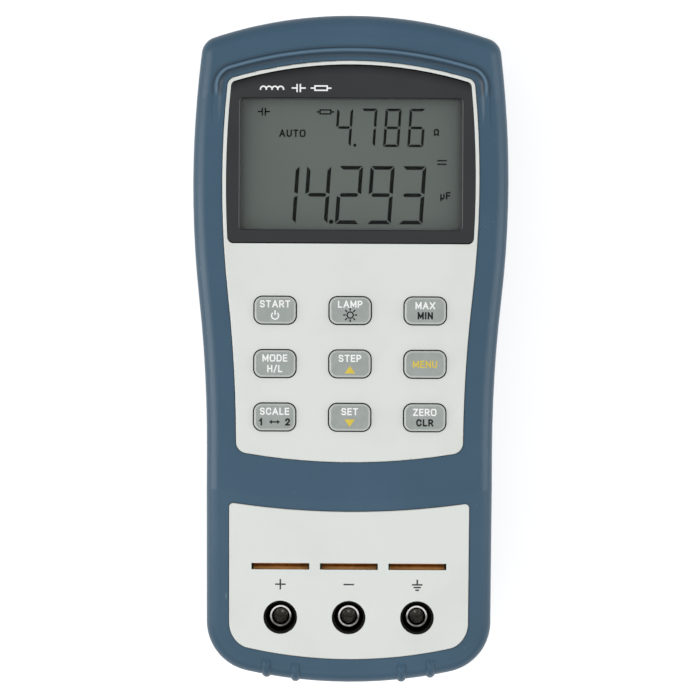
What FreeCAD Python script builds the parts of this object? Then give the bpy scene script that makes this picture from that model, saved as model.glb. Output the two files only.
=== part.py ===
import FreeCAD, Part
import math
import os
import re
import Sketcher

V = FreeCAD.Vector
UP = V(0, 0, 1)
FAR = 300.0
CORNER_SHARE = 0.76

# Handheld component tester lying on its back: +Z out of the front face, +Y towards the display,
# +X to the right, origin under the middle of the case. All sizes are in millimetres and degrees.

SIZES = {
    # Outline of the case, seen from the front
    "case_length": 186.2,
    "case_width": 87.9,
    "waist_draw": 4.2,
    "hip_drop": 46.5,
    "waist_lead": 3.3,
    "flank_share": 0.435,
    "shoulder_drop": 7.3,
    "shoulder_radius": 5.0,
    "foot_rise": 6.1,
    "foot_radius": 14.2,
    "least_corner": 0.3,
    # Heights of the case halves
    "face_height": 39.8,
    "front_depth": 21.8,
    "parting_gap": 0.3,
    "crease_lead": 2.9,
    "crease_radius": 212.0,
    "lower_slope": 6.3,
    "visor_rise": 1.1,
    "visor_reach": 10.75,
    "visor_run": 17.0,
    "brow_margin": 2.8,
    "brow_round": 1.9,
    "bead_width": 0.9,
    "bead_rise": 0.5,
    "bead_bevel": 0.4,
    # Walls and overmoulded grip
    "wall": 2.0,
    "grip_thickness": 2.2,
    "grip_gap": 0.1,
    "grip_round": 3.5,
    "rib_radius": 1.35,
    "rib_rise": 0.7,
    "rib_reach": 5.3,
    "rib_lead": 2.0,
    "rib_outer_x": 22.9,
    "rib_inner_x": 14.8,
    "rib_start": 7.0,
    # Upper panel with the window and keys
    "panel_proud": 0.4,
    "panel_gap": 0.15,
    "panel_round": 0.35,
    "head_margin": 12.75,
    "upper_margin": 8.25,
    "upper_top_radius": 114.0,
    "upper_bottom_radius": 174.0,
    "upper_top_corner": 2.6,
    "upper_bottom_corner": 3.2,
    # Lower panel with the slots and sockets, and the blue band above it
    "foot_margin": 6.8,
    "lower_length": 41.5,
    "band_length": 13.7,
    "lower_margin": 6.4,
    "lower_top_radius": 223.0,
    "lower_bottom_radius": 130.0,
    "lower_top_corner": 1.2,
    "lower_bottom_corner": 6.0,
    # Display
    "key_field": 60.7,
    "window_rim": 1.15,
    "window_corner": 1.6,
    "window_thickness": 1.6,
    "window_recess": 0.2,
    "window_gap": 0.1,
    "ledge_thickness": 1.8,
    "ledge_width": 1.0,
    "view_side": 12.75,
    "view_head": 10.15,
    "view_foot": 3.5,
    "lcd_border": 2.4,
    "lcd_thickness": 2.4,
    "guide_thickness": 2.4,
    "guide_gap": 0.3,
    "zebra_width": 2.0,
    "holder_wall": 1.5,
    "fit_gap": 0.2,
    # Keys
    "key_width": 11.4,
    "key_length": 7.4,
    "key_corner": 2.2,
    "key_bevel": 0.5,
    "key_side": 5.0,
    "key_rise": 27.3,
    "key_pitch_y": 14.8,
    "key_proud": 0.8,
    "key_gap": 0.36,
    "key_travel": 1.0,
    "flange_width": 1.2,
    "flange_thickness": 1.2,
    "stem_width": 5.0,
    "stem_length": 3.6,
    "stem_depth": 2.4,
    "dome_gap": 0.3,
    "dome_base": 3.6,
    "dome_crown": 2.4,
    "mat_margin": 1.0,
    "mat_thickness": 0.8,
    # Circuit board
    "board_thickness": 1.6,
    "board_side": 5.15,
    "board_head": 5.75,
    "board_foot": 3.3,
    "boss_inset": 5.0,
    "boss_top_drop": 5.6,
    "boss_mid_drop": 4.3,
    "boss_low_rise": 6.5,
    "board_boss_radius": 2.6,
    "board_screw_radius": 1.25,
    "board_screw_head": 2.3,
    "board_screw_head_depth": 1.5,
    "board_screw_grip": 5.0,
    "screw_gap": 0.06,
    "chip_size": 12.0,
    "chip_thickness": 1.4,
    "chip_pitch": 22.0,
    "chip_rise": 9.0,
    # Component slots
    "slot_width": 16.1,
    "slot_length": 1.8,
    "slot_rise": 14.35,
    "contact_width": 15.3,
    "contact_thickness": 0.4,
    "contact_height": 5.7,
    "contact_pinch": 0.08,
    "contact_pinch_height": 4.3,
    "contact_flare": 1.0,
    "contact_foot": 3.0,
    # Plug sockets
    "jack_pitch": 19.05,
    "jack_rise": 11.8,
    "jack_hole_radius": 4.7,
    "jack_neck_radius": 4.6,
    "jack_well_radius": 4.1,
    "jack_flange_radius": 5.8,
    "jack_sink": 4.1,
    "jack_neck": 2.6,
    "jack_depth": 23.0,
    "jack_floor": 3.0,
    "sleeve_radius": 2.95,
    "sleeve_bore": 2.0,
    "sleeve_mouth": 2.5,
    "sleeve_lead": 1.2,
    "sleeve_recess": 3.9,
    "sleeve_tail": 3.0,
    "sleeve_end": 2.0,
    # Back of the case
    "back_recess": 0.6,
    "back_margin": 7.8,
    "top_screw_side": 15.95,
    "top_screw_drop": 1.15,
    "low_screw_rise": 11.3,
    "case_screw_radius": 1.5,
    "case_screw_head": 2.5,
    "case_screw_head_depth": 2.2,
    "case_screw_seat": 9.0,
    "case_screw_grip": 9.0,
    "case_boss_radius": 3.7,
    # Battery and its door
    "battery_width": 26.5,
    "battery_length": 46.0,
    "battery_depth": 17.5,
    "battery_round": 2.0,
    "battery_foot": 30.5,
    "battery_gap": 0.6,
    "terminal_radius": 3.0,
    "terminal_length": 2.4,
    "terminal_spacing": 12.7,
    "clip_length": 4.0,
    "clip_depth": 12.0,
    "door_lap": 3.25,
    "door_foot": 3.3,
    "door_head": 11.8,
    "door_thickness": 2.0,
    "door_gap": 0.25,
    "door_corner": 3.0,
    "door_groove_count": 4,
    "door_groove_width": 14.0,
    "door_groove_pitch": 3.0,
    "door_groove_depth": 0.5,
    "door_groove_rise": 8.5,
    "door_screw_drop": 5.0,
    "door_screw_radius": 1.5,
    "door_screw_head": 2.7,
    "door_screw_head_depth": 1.2,
    "door_screw_grip": 7.0,
    # Tilt stand
    "stand_width": 46.0,
    "stand_thickness": 3.0,
    "stand_head": 17.75,
    "stand_foot": 9.0,
    "stand_corner": 4.0,
    "stand_bar": 5.0,
    "stand_pocket": 1.2,
    "stand_gap": 0.4,
    "stand_sink": 0.3,
    "hub_radius": 2.2,
    "hinge_pin_radius": 1.3,
    "hinge_pin_length": 1.5,
    "hinge_gap": 0.06,
    "finger_notch_radius": 7.0,
    "finger_notch_depth": 1.2,
    # Data port in the left side
    "port_rise": 12.55,
    "port_width": 7.7,
    "port_depth": 3.9,
    "port_length": 9.0,
    "port_wall": 0.4,
    "port_set_back": 0.8,
    "port_hole_gap": 0.4,
    "cover_length": 13.1,
    "cover_height": 11.0,
    "cover_thickness": 1.9,
    "cover_gap": 0.35,
    "cover_scoop_radius": 60.0,
    "cover_scoop_depth": 0.5,
}

# What follows from the sizes: places along the case, then widths, then levels above the back
WORKED_OUT = {
    "case_end_y": "case_length / 2",
    "upper_top_y": "case_end_y - head_margin",
    "lower_bottom_y": "foot_margin - case_end_y",
    "lower_top_y": "lower_bottom_y + lower_length",
    "upper_bottom_y": "lower_top_y + band_length",
    "widest_y": "case_end_y - hip_drop",
    "waist_y": "upper_bottom_y + waist_lead",
    "crease_y": "lower_top_y + crease_lead",
    "visor_start_y": "upper_top_y - visor_reach",
    "window_bottom_y": "upper_bottom_y + key_field",
    "view_top_y": "upper_top_y - view_head",
    "view_bottom_y": "window_bottom_y + view_foot",
    "view_length": "view_top_y - view_bottom_y",
    "view_y": "(view_top_y + view_bottom_y) / 2",
    "key_row_y": "upper_bottom_y + key_rise",
    "jack_y": "lower_bottom_y + jack_rise",
    "slot_y": "jack_y + slot_rise",
    "port_y": "slot_y + port_rise",
    "board_top_y": "upper_top_y - board_head",
    "board_bottom_y": "jack_y + jack_flange_radius + board_foot",
    "board_length": "board_top_y - board_bottom_y",
    "board_y": "(board_top_y + board_bottom_y) / 2",
    "boss_top_y": "window_bottom_y - boss_top_drop",
    "boss_mid_y": "upper_bottom_y - boss_mid_drop",
    "boss_low_y": "slot_y + boss_low_rise",
    "screw_top_y": "upper_top_y - top_screw_drop",
    "screw_low_y": "low_screw_rise - case_end_y",
    "battery_bottom_y": "battery_foot - case_end_y",
    "battery_top_y": "battery_bottom_y + battery_length",
    "door_bottom_y": "battery_bottom_y - door_foot",
    "door_top_y": "battery_top_y + terminal_length + clip_length + door_head",
    "door_length": "door_top_y - door_bottom_y",
    "door_y": "(door_top_y + door_bottom_y) / 2",
    "door_screw_y": "door_top_y - door_screw_drop",
    "door_groove_y": "door_bottom_y + door_groove_rise",
    "chip_y": "door_top_y + chip_rise",
    "hinge_y": "upper_top_y - stand_head",
    "stand_bottom_y": "door_top_y + stand_foot",
    "stand_length": "hinge_y - stand_bottom_y",
    "stand_y": "(hinge_y + stand_bottom_y) / 2",
    "waist_width": "case_width - 2 * waist_draw",
    "view_width": "case_width - 2 * view_side",
    "key_pitch_x": "waist_width / 2 - upper_margin - key_side - key_width / 2",
    "board_width": "waist_width - 2 * board_side",
    "boss_top_x": "board_width / 2 - boss_inset",
    "boss_mid_x": "board_width / 2 - boss_inset",
    "boss_low_x": "jack_pitch / 2",
    "screw_top_x": "case_width / 2 - top_screw_side",
    "screw_low_x": "jack_pitch / 2",
    "cell_width": "battery_width + 2 * battery_gap",
    "cell_length": "battery_length + terminal_length + clip_length + 2 * battery_gap",
    "door_width": "battery_width + 2 * door_lap",
    "skin": "grip_thickness + grip_gap",
    "parting_height": "face_height - front_depth",
    "panel_top": "face_height + panel_proud",
    "panel_under": "panel_top - wall",
    "window_low": "panel_top - window_recess - window_thickness",
    "ledge_top": "window_low - window_gap",
    "ledge_low": "ledge_top - ledge_thickness",
    "inside_top": "face_height - skin - wall",
    "lcd_top": "inside_top - fit_gap",
    "lcd_low": "lcd_top - lcd_thickness",
    "guide_low": "lcd_low - fit_gap - guide_thickness",
    "board_top": "guide_low - guide_gap",
    "board_low": "board_top - board_thickness",
    "key_top": "panel_top + key_proud",
    "flange_top": "panel_under - fit_gap",
    "flange_low": "flange_top - flange_thickness",
    "stem_low": "flange_low - stem_depth",
    "dome_top": "stem_low - key_travel - dome_gap",
    "jack_top": "panel_top - jack_sink",
    "jack_flange_top": "jack_top - jack_neck",
    "jack_low": "jack_top - jack_depth",
    "sleeve_top": "jack_top - sleeve_recess",
    "sleeve_low": "jack_low - sleeve_tail",
    "door_inside": "back_recess + door_thickness",
    "cell_low": "door_inside + battery_gap",
    "cell_roof": "cell_low + battery_depth + battery_gap",
    "stand_low": "back_recess + stand_sink",
    "stand_high": "stand_low + stand_thickness",
    "stand_roof": "stand_low + 2 * hub_radius + stand_gap",
    "hinge_z": "stand_low + hub_radius",
    "port_low": "board_low - port_depth",
    "port_z": "port_low + port_depth / 2",
}

KEY_NAMES = [
    ["key_power", "key_light", "key_hold"],
    ["key_mode", "key_up", "key_menu"],
    ["key_range", "key_down", "key_zero"],
]
JACK_STEPS = {"plus": -1, "minus": 0, "guard": 1}

doc = FreeCAD.newDocument("component_tester")
sheet = doc.addObject("Spreadsheet::Sheet", "sizes")
cell_texts = {alias: str(number) for alias, number in SIZES.items()}
cell_texts.update({alias: "=" + words for alias, words in WORKED_OUT.items()})
for row, (alias, text) in enumerate(cell_texts.items(), start=1):
    sheet.set("A%d" % row, alias)
    sheet.setAlias("B%d" % row, alias)
    sheet.set("B%d" % row, text)
doc.recompute()
nodes = []


def size(name):
    """One size, read from the sheet."""
    return float(sheet.get(name))


def cells(words):
    """Words such as "wall + fit_gap" as an expression on the sheet's cells."""
    return re.sub(r"[a-z][a-z_]+", r"sizes.\g<0>", words)


def bind(item, **expressions):
    """Tie an object's properties to the sheet; two underscores stand for a dot."""
    for path, words in expressions.items():
        item.setExpression(path.replace("__", "."), cells(words))
    return item


def keep(item, label):
    """Name a finished sub-part."""
    item.Label = label
    nodes.append(item)
    return item


def feature(label, shape):
    """A sub-part whose shape is worked out here from the sheet."""
    item = doc.addObject("Part::Feature", label)
    item.Shape = shape
    item.Placement = FreeCAD.Placement()
    return keep(item, label)


# Part primitives tied to the sheet
def block(name, width, length, height, x, y, z):
    """A box centred on x and y, standing on z."""
    item = doc.addObject("Part::Box", name)
    bind(item, Length=width, Width=length, Height=height)
    bind(item, Placement__Base__x="%s - (%s) / 2" % (x, width))
    bind(item, Placement__Base__y="%s - (%s) / 2" % (y, length))
    return bind(item, Placement__Base__z=z)


def rod(name, radius, height, x, y, z, turn=None):
    """A cylinder standing on x, y, z, along Z or turned."""
    item = doc.addObject("Part::Cylinder", name)
    bind(item, Radius=radius, Height=height)
    if turn:
        item.Placement = FreeCAD.Placement(V(0, 0, 0), turn)
    return bind(item, Placement__Base__x=x, Placement__Base__y=y, Placement__Base__z=z)


def joined(name, kind, items):
    """A boolean or a group of several objects."""
    item = doc.addObject(kind, name)
    if kind == "Part::Compound":
        item.Links = items
    else:
        item.Shapes = items
    return item


def cut(name, base, tool):
    """One object less another."""
    item = doc.addObject("Part::Cut", name)
    item.Base = base
    item.Tool = tool
    return item


ALONG_X = FreeCAD.Rotation(V(0, 1, 0), 90)
ALONG_Y = FreeCAD.Rotation(V(1, 0, 0), -90)


# PartDesign bodies tied to the sheet
def plane(body, role):
    return next(item for item in body.Origin.OriginFeatures if item.Role == role)


def outline_sketch(body, role, points, height="0"):
    """A closed polygon whose corners are tied to the sheet."""
    sketch = body.newObject("Sketcher::SketchObject", body.Name + "_sketch")
    sketch.AttachmentSupport = (plane(body, role), [""])
    sketch.MapMode = "FlatFace"
    if height != "0":
        sketch.setExpression("AttachmentOffset.Base.z", cells(height))
    count = len(points)
    around = [2.0 * math.pi * step / count for step in range(count + 1)]
    ring = [V(math.cos(angle), math.sin(angle), 0) for angle in around]
    for step in range(count):
        sketch.addGeometry(Part.LineSegment(ring[step], ring[(step + 1) % count]))
    for step in range(count):
        sketch.addConstraint(Sketcher.Constraint("Coincident", step, 2, (step + 1) % count, 1))
    for step, pair in enumerate(points):
        for kind, words in zip(("DistanceX", "DistanceY"), pair):
            number = sketch.addConstraint(Sketcher.Constraint(kind, -1, 1, step, 1, 1.0))
            sketch.setExpression("Constraints[%d]" % number, cells(words))
    return sketch


def rectangle(width, length):
    """Corner expressions of a rectangle about the origin."""
    right = "(%s) / 2" % width
    upper = "(%s) / 2" % length
    return [("-" + right, "-" + upper), (right, "-" + upper), (right, upper), ("-" + right, upper)]


def pad(body, sketch, length, kind="PartDesign::Pad", reverse=False):
    item = body.newObject(kind, body.Name + "_pad")
    item.Profile = sketch
    item.setExpression("Length", cells(length))
    item.Reversed = reverse
    doc.recompute()
    return item


def turned(body, sketch, kind="PartDesign::Revolution"):
    """A turned feature about the sketch's upright axis."""
    item = body.newObject(kind, body.Name + "_turn")
    item.Profile = sketch
    item.ReferenceAxis = (sketch, ["V_Axis"])
    item.Angle = 360.0
    doc.recompute()
    return item


def dress_edges(body, kind, base, words, wanted):
    """Round or bevel the edges of a feature that the wanted() test picks."""
    names = ["Edge%d" % (number + 1) for number, edge in enumerate(base.Shape.Edges) if wanted(edge)]
    item = body.newObject(kind, body.Name + "_dressed")
    item.Base = (base, names)
    item.setExpression("Radius" if kind == "PartDesign::Fillet" else "Size", cells(words))
    doc.recompute()
    return item


def upright(edge):
    low, high = edge.BoundBox.ZMin, edge.BoundBox.ZMax
    return high - low > 0.1 and edge.BoundBox.XLength + edge.BoundBox.YLength < 0.001


def lower_upright(edge):
    return upright(edge) and edge.CenterOfMass.y < 0


def lengthwise(edge):
    return edge.BoundBox.YLength > 0.1 and edge.BoundBox.XLength + edge.BoundBox.ZLength < 0.001


def level_at(height):
    """A test for edges that lie flat at one height."""
    def wanted(edge):
        return abs(edge.BoundBox.ZMin - height) < 0.001 and abs(edge.BoundBox.ZMax - height) < 0.001
    return wanted


# Outlines of the case and the panels
def flat_face(edges):
    return Part.Face(Part.Wire(Part.__sortEdges__(edges)))


def bow(y, radius, half_width, swell):
    """An arc across the case whose middle is at y; swell is 1 when it bulges upwards, else -1."""
    sag = swell * (radius - math.sqrt(radius ** 2 - half_width ** 2))
    return Part.Arc(V(-half_width, y - sag, 0), V(0, y, 0), V(half_width, y - sag, 0)).toShape()


def round_corners(face, radii):
    """Round the corners of a flat face; radii pairs each radius with a test on the corner's point."""
    solid = face.extrude(UP)
    for radius, wanted in radii:
        edges = [edge for edge in solid.Edges if upright(edge) and wanted(edge.CenterOfMass)]
        solid = solid.makeFillet(radius, edges)
    base = next(item for item in solid.Faces if item.BoundBox.ZMax < 0.001)
    return Part.Face(base.OuterWire)


def corner_radius(name, inset):
    """A corner's radius on an outline that is drawn in."""
    return max(size(name) - inset, size("least_corner"))


def bow_radius(half_chord, sag):
    return (half_chord ** 2 + sag ** 2) / (2 * sag)


def case_face(inset):
    """Arched top, hips that swell at the display, a slimmer waist and a bowed foot, drawn in by inset."""
    end_y = size("case_end_y")
    hip = size("case_width") / 2
    waist = size("waist_width") / 2
    widest_y = size("widest_y")
    waist_y = size("waist_y")
    run = widest_y - waist_y
    turn = 2 * math.atan((hip - waist) / run)
    share = size("flank_share")
    hip_radius = share * run / math.sin(turn)
    waist_radius = (1 - share) * run / math.sin(turn)
    shoulder_drop = size("shoulder_drop")
    shoulder_rise = end_y - shoulder_drop - widest_y
    shoulder_x = hip - hip_radius * (1 - math.sqrt(1 - (shoulder_rise / hip_radius) ** 2))
    top = bow(end_y - inset, bow_radius(shoulder_x, shoulder_drop) - inset, hip, 1)
    foot = bow(-end_y + inset, foot_radius_of_bow() - inset, hip, -1)
    flex_x = hip - hip_radius + (hip_radius - inset) * math.cos(turn)
    flex_y = widest_y - (hip_radius - inset) * math.sin(turn)
    half_turn_x = waist + waist_radius - (waist_radius + inset) * math.cos(turn / 2)
    half_turn_y = waist_y + (waist_radius + inset) * math.sin(turn / 2)
    rise = end_y - widest_y
    above_x = hip - hip_radius + math.sqrt((hip_radius - inset) ** 2 - rise ** 2)
    edges = []
    for side in (-1, 1):
        above = V(side * above_x, end_y, 0)
        flex = V(side * flex_x, flex_y, 0)
        slim = V(side * (waist - inset), waist_y, 0)
        edges.append(Part.Arc(above, V(side * (hip - inset), widest_y, 0), flex).toShape())
        edges.append(Part.Arc(flex, V(side * half_turn_x, half_turn_y, 0), slim).toShape())
        edges.append(Part.makeLine(slim, V(side * (waist - inset), -end_y, 0)))
    edges.append(Part.makeLine(V(-above_x, end_y, 0), V(above_x, end_y, 0)))
    edges.append(Part.makeLine(V(inset - waist, -end_y, 0), V(waist - inset, -end_y, 0)))
    face = flat_face(edges).common(band_face(top, foot)).Faces[0]
    shoulder_y = end_y - 2 * shoulder_drop - inset
    foot_y = -end_y + 2 * size("foot_rise") + inset
    return round_corners(face, [(corner_radius("shoulder_radius", inset), lambda point: point.y > shoulder_y),
                                (corner_radius("foot_radius", inset), lambda point: point.y < foot_y)])


def foot_radius_of_bow():
    return bow_radius(size("waist_width") / 2, size("foot_rise"))


def band_face(top, bottom):
    """The region between two bowed edges."""
    ends = [[edge.valueAt(edge.FirstParameter), edge.valueAt(edge.LastParameter)] for edge in (top, bottom)]
    sides = []
    for side in (-1, 1):
        pair = [next(point for point in end if point.x * side > 0) for end in ends]
        sides.append(Part.makeLine(*pair))
    return flat_face([top, bottom] + sides)


def panel_face(name, inset):
    """The case outline drawn in by the panel's margin, between the panel's two bowed edges."""
    reach = size("case_width") / 2
    swell = 1 if name == "upper" else -1
    top_y = size(name + "_top_y") - inset
    bottom_y = size(name + "_bottom_y") + inset
    top = bow(top_y, size(name + "_top_radius") - swell * inset, reach, swell)
    bottom = bow(bottom_y, size(name + "_bottom_radius") - inset, reach, -1)
    face = case_face(size(name + "_margin") + inset).common(band_face(top, bottom)).Faces[0]
    middle = (top_y + bottom_y) / 2
    half = (top_y - bottom_y) / 2
    upper_part = middle + CORNER_SHARE * half
    lower_part = middle - CORNER_SHARE * half
    top_radius = corner_radius(name + "_top_corner", inset)
    bottom_radius = corner_radius(name + "_bottom_corner", inset)
    return round_corners(face, [(top_radius, lambda point: point.y > upper_part),
                                (bottom_radius, lambda point: point.y < lower_part)])


def upper_face(inset):
    return panel_face("upper", inset)


def lower_face(inset):
    return panel_face("lower", inset)


def window_face(inset):
    """The upper panel drawn in by its rim, cut straight above the keys."""
    half = size("case_width") / 2
    bottom = size("window_bottom_y") + inset
    band = Part.makePlane(2 * half, size("case_length"), V(-half, bottom, 0))
    face = upper_face(size("window_rim") + inset).common(band).Faces[0]
    radius = corner_radius("window_corner", inset)
    return round_corners(face, [(radius, lambda point: abs(point.y - bottom) < 0.01)])


def rounded_rectangle(width, length, corner):
    """The outline of a rounded rectangle about the origin, to be drawn in or let out."""
    def face(inset):
        wide, long = width - 2 * inset, length - 2 * inset
        flat = Part.makePlane(wide, long, V(-wide / 2, -long / 2, 0))
        return round_corners(flat, [(max(corner - inset, size("least_corner")), lambda point: True)])
    return face


def prism(outline, inset, low, high):
    """An outline drawn in by inset (or let out, where it is negative) between two heights."""
    face = outline(inset)
    face.translate(V(0, 0, low))
    return face.extrude(V(0, 0, high - low))


def under_front(rise):
    """Everything below the front face raised by rise: level at the keys, a shallow cone at the foot."""
    height = size("face_height") + rise
    near = size("crease_radius")
    fall = math.tan(math.radians(size("lower_slope"))) * FAR
    corners = [V(near, 0, height), V(near + FAR, 0, height - fall), V(near + FAR, 0, height + FAR),
               V(near, 0, height + FAR), V(near, 0, height)]
    ring = Part.Face(Part.makePolygon(corners)).revolve(V(0, 0, 0), UP, 360)
    ring.translate(V(0, size("crease_y") + near, 0))
    slab = Part.makeBox(2 * FAR, 2 * FAR, FAR, V(-FAR, -FAR, height - FAR))
    return slab.cut(ring)


def front_z(x, y):
    """Height of the grip's front face at a point."""
    away = math.hypot(x, y - size("crease_y") - size("crease_radius")) - size("crease_radius")
    return size("face_height") - max(0.0, away) * math.tan(math.radians(size("lower_slope")))


def post(x, y, radius, low, high):
    return Part.makeCylinder(radius, high - low, V(x, y, low))


def slab(width, length, x, y, low, high):
    return Part.makeBox(width, length, high - low, V(x - width / 2, y - length / 2, low))


def both_sides(x, y):
    return [(-x, y), (x, y)]


CASE_SCREWS = []
for screw_end in ("screw_top", "screw_low"):
    CASE_SCREWS += both_sides(size(screw_end + "_x"), size(screw_end + "_y"))
BOARD_SCREWS = []
for boss in ("boss_top", "boss_mid", "boss_low"):
    BOARD_SCREWS += both_sides(size(boss + "_x"), size(boss + "_y"))
KEY_PLACES = {}
for row, names in enumerate(KEY_NAMES):
    for column, name in enumerate(names):
        KEY_PLACES[name] = (column - 1, 1 - row)


def foot_edge_y(x):
    """Where the bowed foot of the case lies at x."""
    radius = foot_radius_of_bow()
    return -size("case_end_y") + radius - math.sqrt(radius ** 2 - x ** 2)


RIBS = [side * size(name) for side in (-1, 1) for name in ("rib_outer_x", "rib_inner_x")]


# Front shell: one moulding with both panels, hollow inside, with bosses for the board and case screws
def make_front_shell():
    low = size("parting_height")
    wall = size("wall")
    skin = size("skin")
    filled = prism(case_face, skin, low, FAR).common(under_front(-skin))
    hollow = prism(case_face, skin + wall, low, FAR).common(under_front(-skin - wall))
    for face in (upper_face, lower_face):
        filled = filled.fuse(raised_panel(face, low))
        hollow = hollow.fuse(prism(face, wall, low, FAR).common(under_front(size("panel_proud") - wall)))
    shell = filled.cut(hollow)
    shell = shell.fuse(prism(window_face, -size("ledge_width"), size("ledge_low"), size("panel_under")))
    board_top = size("board_top")
    for x, y in CASE_SCREWS:
        shell = shell.fuse(post(x, y, size("case_boss_radius"), low, FAR).common(filled))
    for x, y in BOARD_SCREWS:
        shell = shell.fuse(post(x, y, size("board_boss_radius"), board_top, FAR).common(filled))
    for x, y in CASE_SCREWS:
        pilot = size("case_screw_radius") + size("screw_gap")
        shell = shell.cut(post(x, y, pilot, low, low + size("case_screw_grip") + size("fit_gap")))
    for x, y in BOARD_SCREWS:
        pilot = size("board_screw_radius") + size("screw_gap")
        shell = shell.cut(post(x, y, pilot, board_top, board_top + size("board_screw_grip")))
    shell = shell.cut(prism(window_face, -size("window_gap"), size("ledge_top"), FAR))
    shell = shell.cut(slab(size("view_width"), size("view_length"), 0, size("view_y"), low, FAR))
    hole = rounded_rectangle(size("key_width"), size("key_length"), size("key_corner"))
    for column, row in KEY_PLACES.values():
        opening = prism(hole, -size("key_gap"), size("inside_top"), FAR)
        opening.translate(V(column * size("key_pitch_x"), size("key_row_y") + row * size("key_pitch_y"), 0))
        shell = shell.cut(opening)
    for step in JACK_STEPS.values():
        x = step * size("jack_pitch")
        shell = shell.cut(post(x, size("jack_y"), size("jack_hole_radius"), board_top, FAR))
        shell = shell.cut(slab(size("slot_width"), size("slot_length"), x, size("slot_y"), board_top, FAR))
    return shell.cut(port_opening()).removeSplitter()


def raised_panel(face, low):
    """A panel that stands a little proud of the grip, with a softened edge."""
    panel = prism(face, 0, low, FAR).common(under_front(size("panel_proud")))
    outline = face(0).OuterWire
    rim = [edge for edge in panel.Edges if edge.BoundBox.ZMin > low + 1 and runs_along(edge, outline)]
    return panel.makeFillet(size("panel_round"), rim)


def port_opening():
    """The hole in the left wall that a data plug passes."""
    gap = size("port_hole_gap")
    reach = size("skin") + size("wall")
    width = size("port_width") + 2 * gap
    x = -size("waist_width") / 2
    return slab(2 * reach, width, x, size("port_y"), size("port_low") - gap, size("board_low") + gap)


def cover_seat(gap):
    """The space of the port cover in the grip."""
    half = size("cover_height") / 2 + gap
    width = size("cover_length") + 2 * gap
    x = -size("waist_width") / 2
    return slab(2 * size("skin"), width, x, size("port_y"), size("port_z") - half, size("port_z") + half)


def rounded_case(low, ceiling):
    """The whole case outline up to a ceiling, with its upper edge rounded over."""
    solid = prism(case_face, 0, low, FAR).common(ceiling)
    outline = case_face(0).OuterWire
    rim = [edge for edge in solid.Edges if edge.BoundBox.ZMin > low + 1 and runs_along(edge, outline)]
    return solid.makeFillet(size("grip_round"), rim)


def runs_along(edge, outline):
    """True for an edge that lies over the outline and isn't upright."""
    if upright(edge):
        return False
    first, last = edge.ParameterRange
    for part in (0.2, 0.5, 0.8):
        point = edge.valueAt(first + part * (last - first))
        if outline.distToShape(Part.Vertex(point.x, point.y, 0))[0] > 0.01:
            return False
    return True


def flat_ceiling(height):
    return Part.makeBox(2 * FAR, 2 * FAR, 2 * FAR, V(-FAR, -FAR, height - 2 * FAR))


def cone_ceiling():
    """Everything below the shallow cone of the foot, which passes the crease at the face's height."""
    height = size("face_height")
    near = size("crease_radius")
    slope = math.tan(math.radians(size("lower_slope")))
    corners = [V(0, 0, height + near * slope), V(near + FAR, 0, height - FAR * slope), V(near + FAR, 0, -FAR),
               V(0, 0, -FAR), V(0, 0, height + near * slope)]
    cone = Part.Face(Part.makePolygon(corners)).revolve(V(0, 0, 0), UP, 360)
    cone.translate(V(0, size("crease_y") + near, 0))
    return cone


def visor_ceiling(rise):
    """Everything below the slope by which the visor rises from the face, itself raised by rise."""
    start = size("visor_start_y")
    slope = size("visor_rise") / size("visor_run")
    height = size("face_height") + rise
    corners = [V(-FAR, -FAR, -FAR), V(-FAR, FAR, -FAR), V(-FAR, FAR, height + (FAR - start) * slope),
               V(-FAR, -FAR, height - (FAR + start) * slope), V(-FAR, -FAR, -FAR)]
    return Part.Face(Part.makePolygon(corners)).extrude(V(2 * FAR, 0, 0))


def make_brow():
    """The space under the visor's arch, which comes down to the panel in a cove."""
    floor = size("face_height")
    space = prism(upper_face, -size("brow_margin"), floor, FAR)
    foot = [edge for edge in space.Edges if edge.BoundBox.ZMax < floor + 0.01]
    return space.makeFillet(size("brow_round"), foot)


def make_bead(low):
    """The thin bead along the visor's edge, which runs out where the visor meets the face."""
    reach = -size("brow_margin") - size("bead_width")
    bead = prism(upper_face, reach, low, FAR).common(visor_ceiling(size("bead_rise")))
    outline = upper_face(reach).OuterWire
    rim = [edge for edge in bead.Edges if edge.BoundBox.ZMin > low + 1 and runs_along(edge, outline)]
    return bead.makeChamfer(size("bead_bevel"), rim)


# Front grip: rubbery frame moulded over the front shell
def make_front_grip():
    low = size("parting_height") + size("parting_gap") / 2
    face_height = size("face_height")
    grip = rounded_case(low, flat_ceiling(face_height)).common(rounded_case(low, cone_ceiling()))
    crown = face_height + size("visor_rise")
    visor = rounded_case(low, flat_ceiling(crown)).common(rounded_case(low, visor_ceiling(0)))
    visor = visor.fuse(make_bead(low)).cut(make_brow())
    grip = grip.fuse(visor)
    for x in RIBS:
        grip = grip.fuse(front_rib(x, low))
    skin = size("grip_thickness")
    core = prism(case_face, skin, 0, FAR).common(under_front(-skin))
    grip = grip.cut(core)
    for face in (upper_face, lower_face):
        grip = grip.cut(prism(face, -size("panel_gap"), low, FAR))
    return grip.cut(cover_seat(size("cover_gap"))).removeSplitter()


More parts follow.
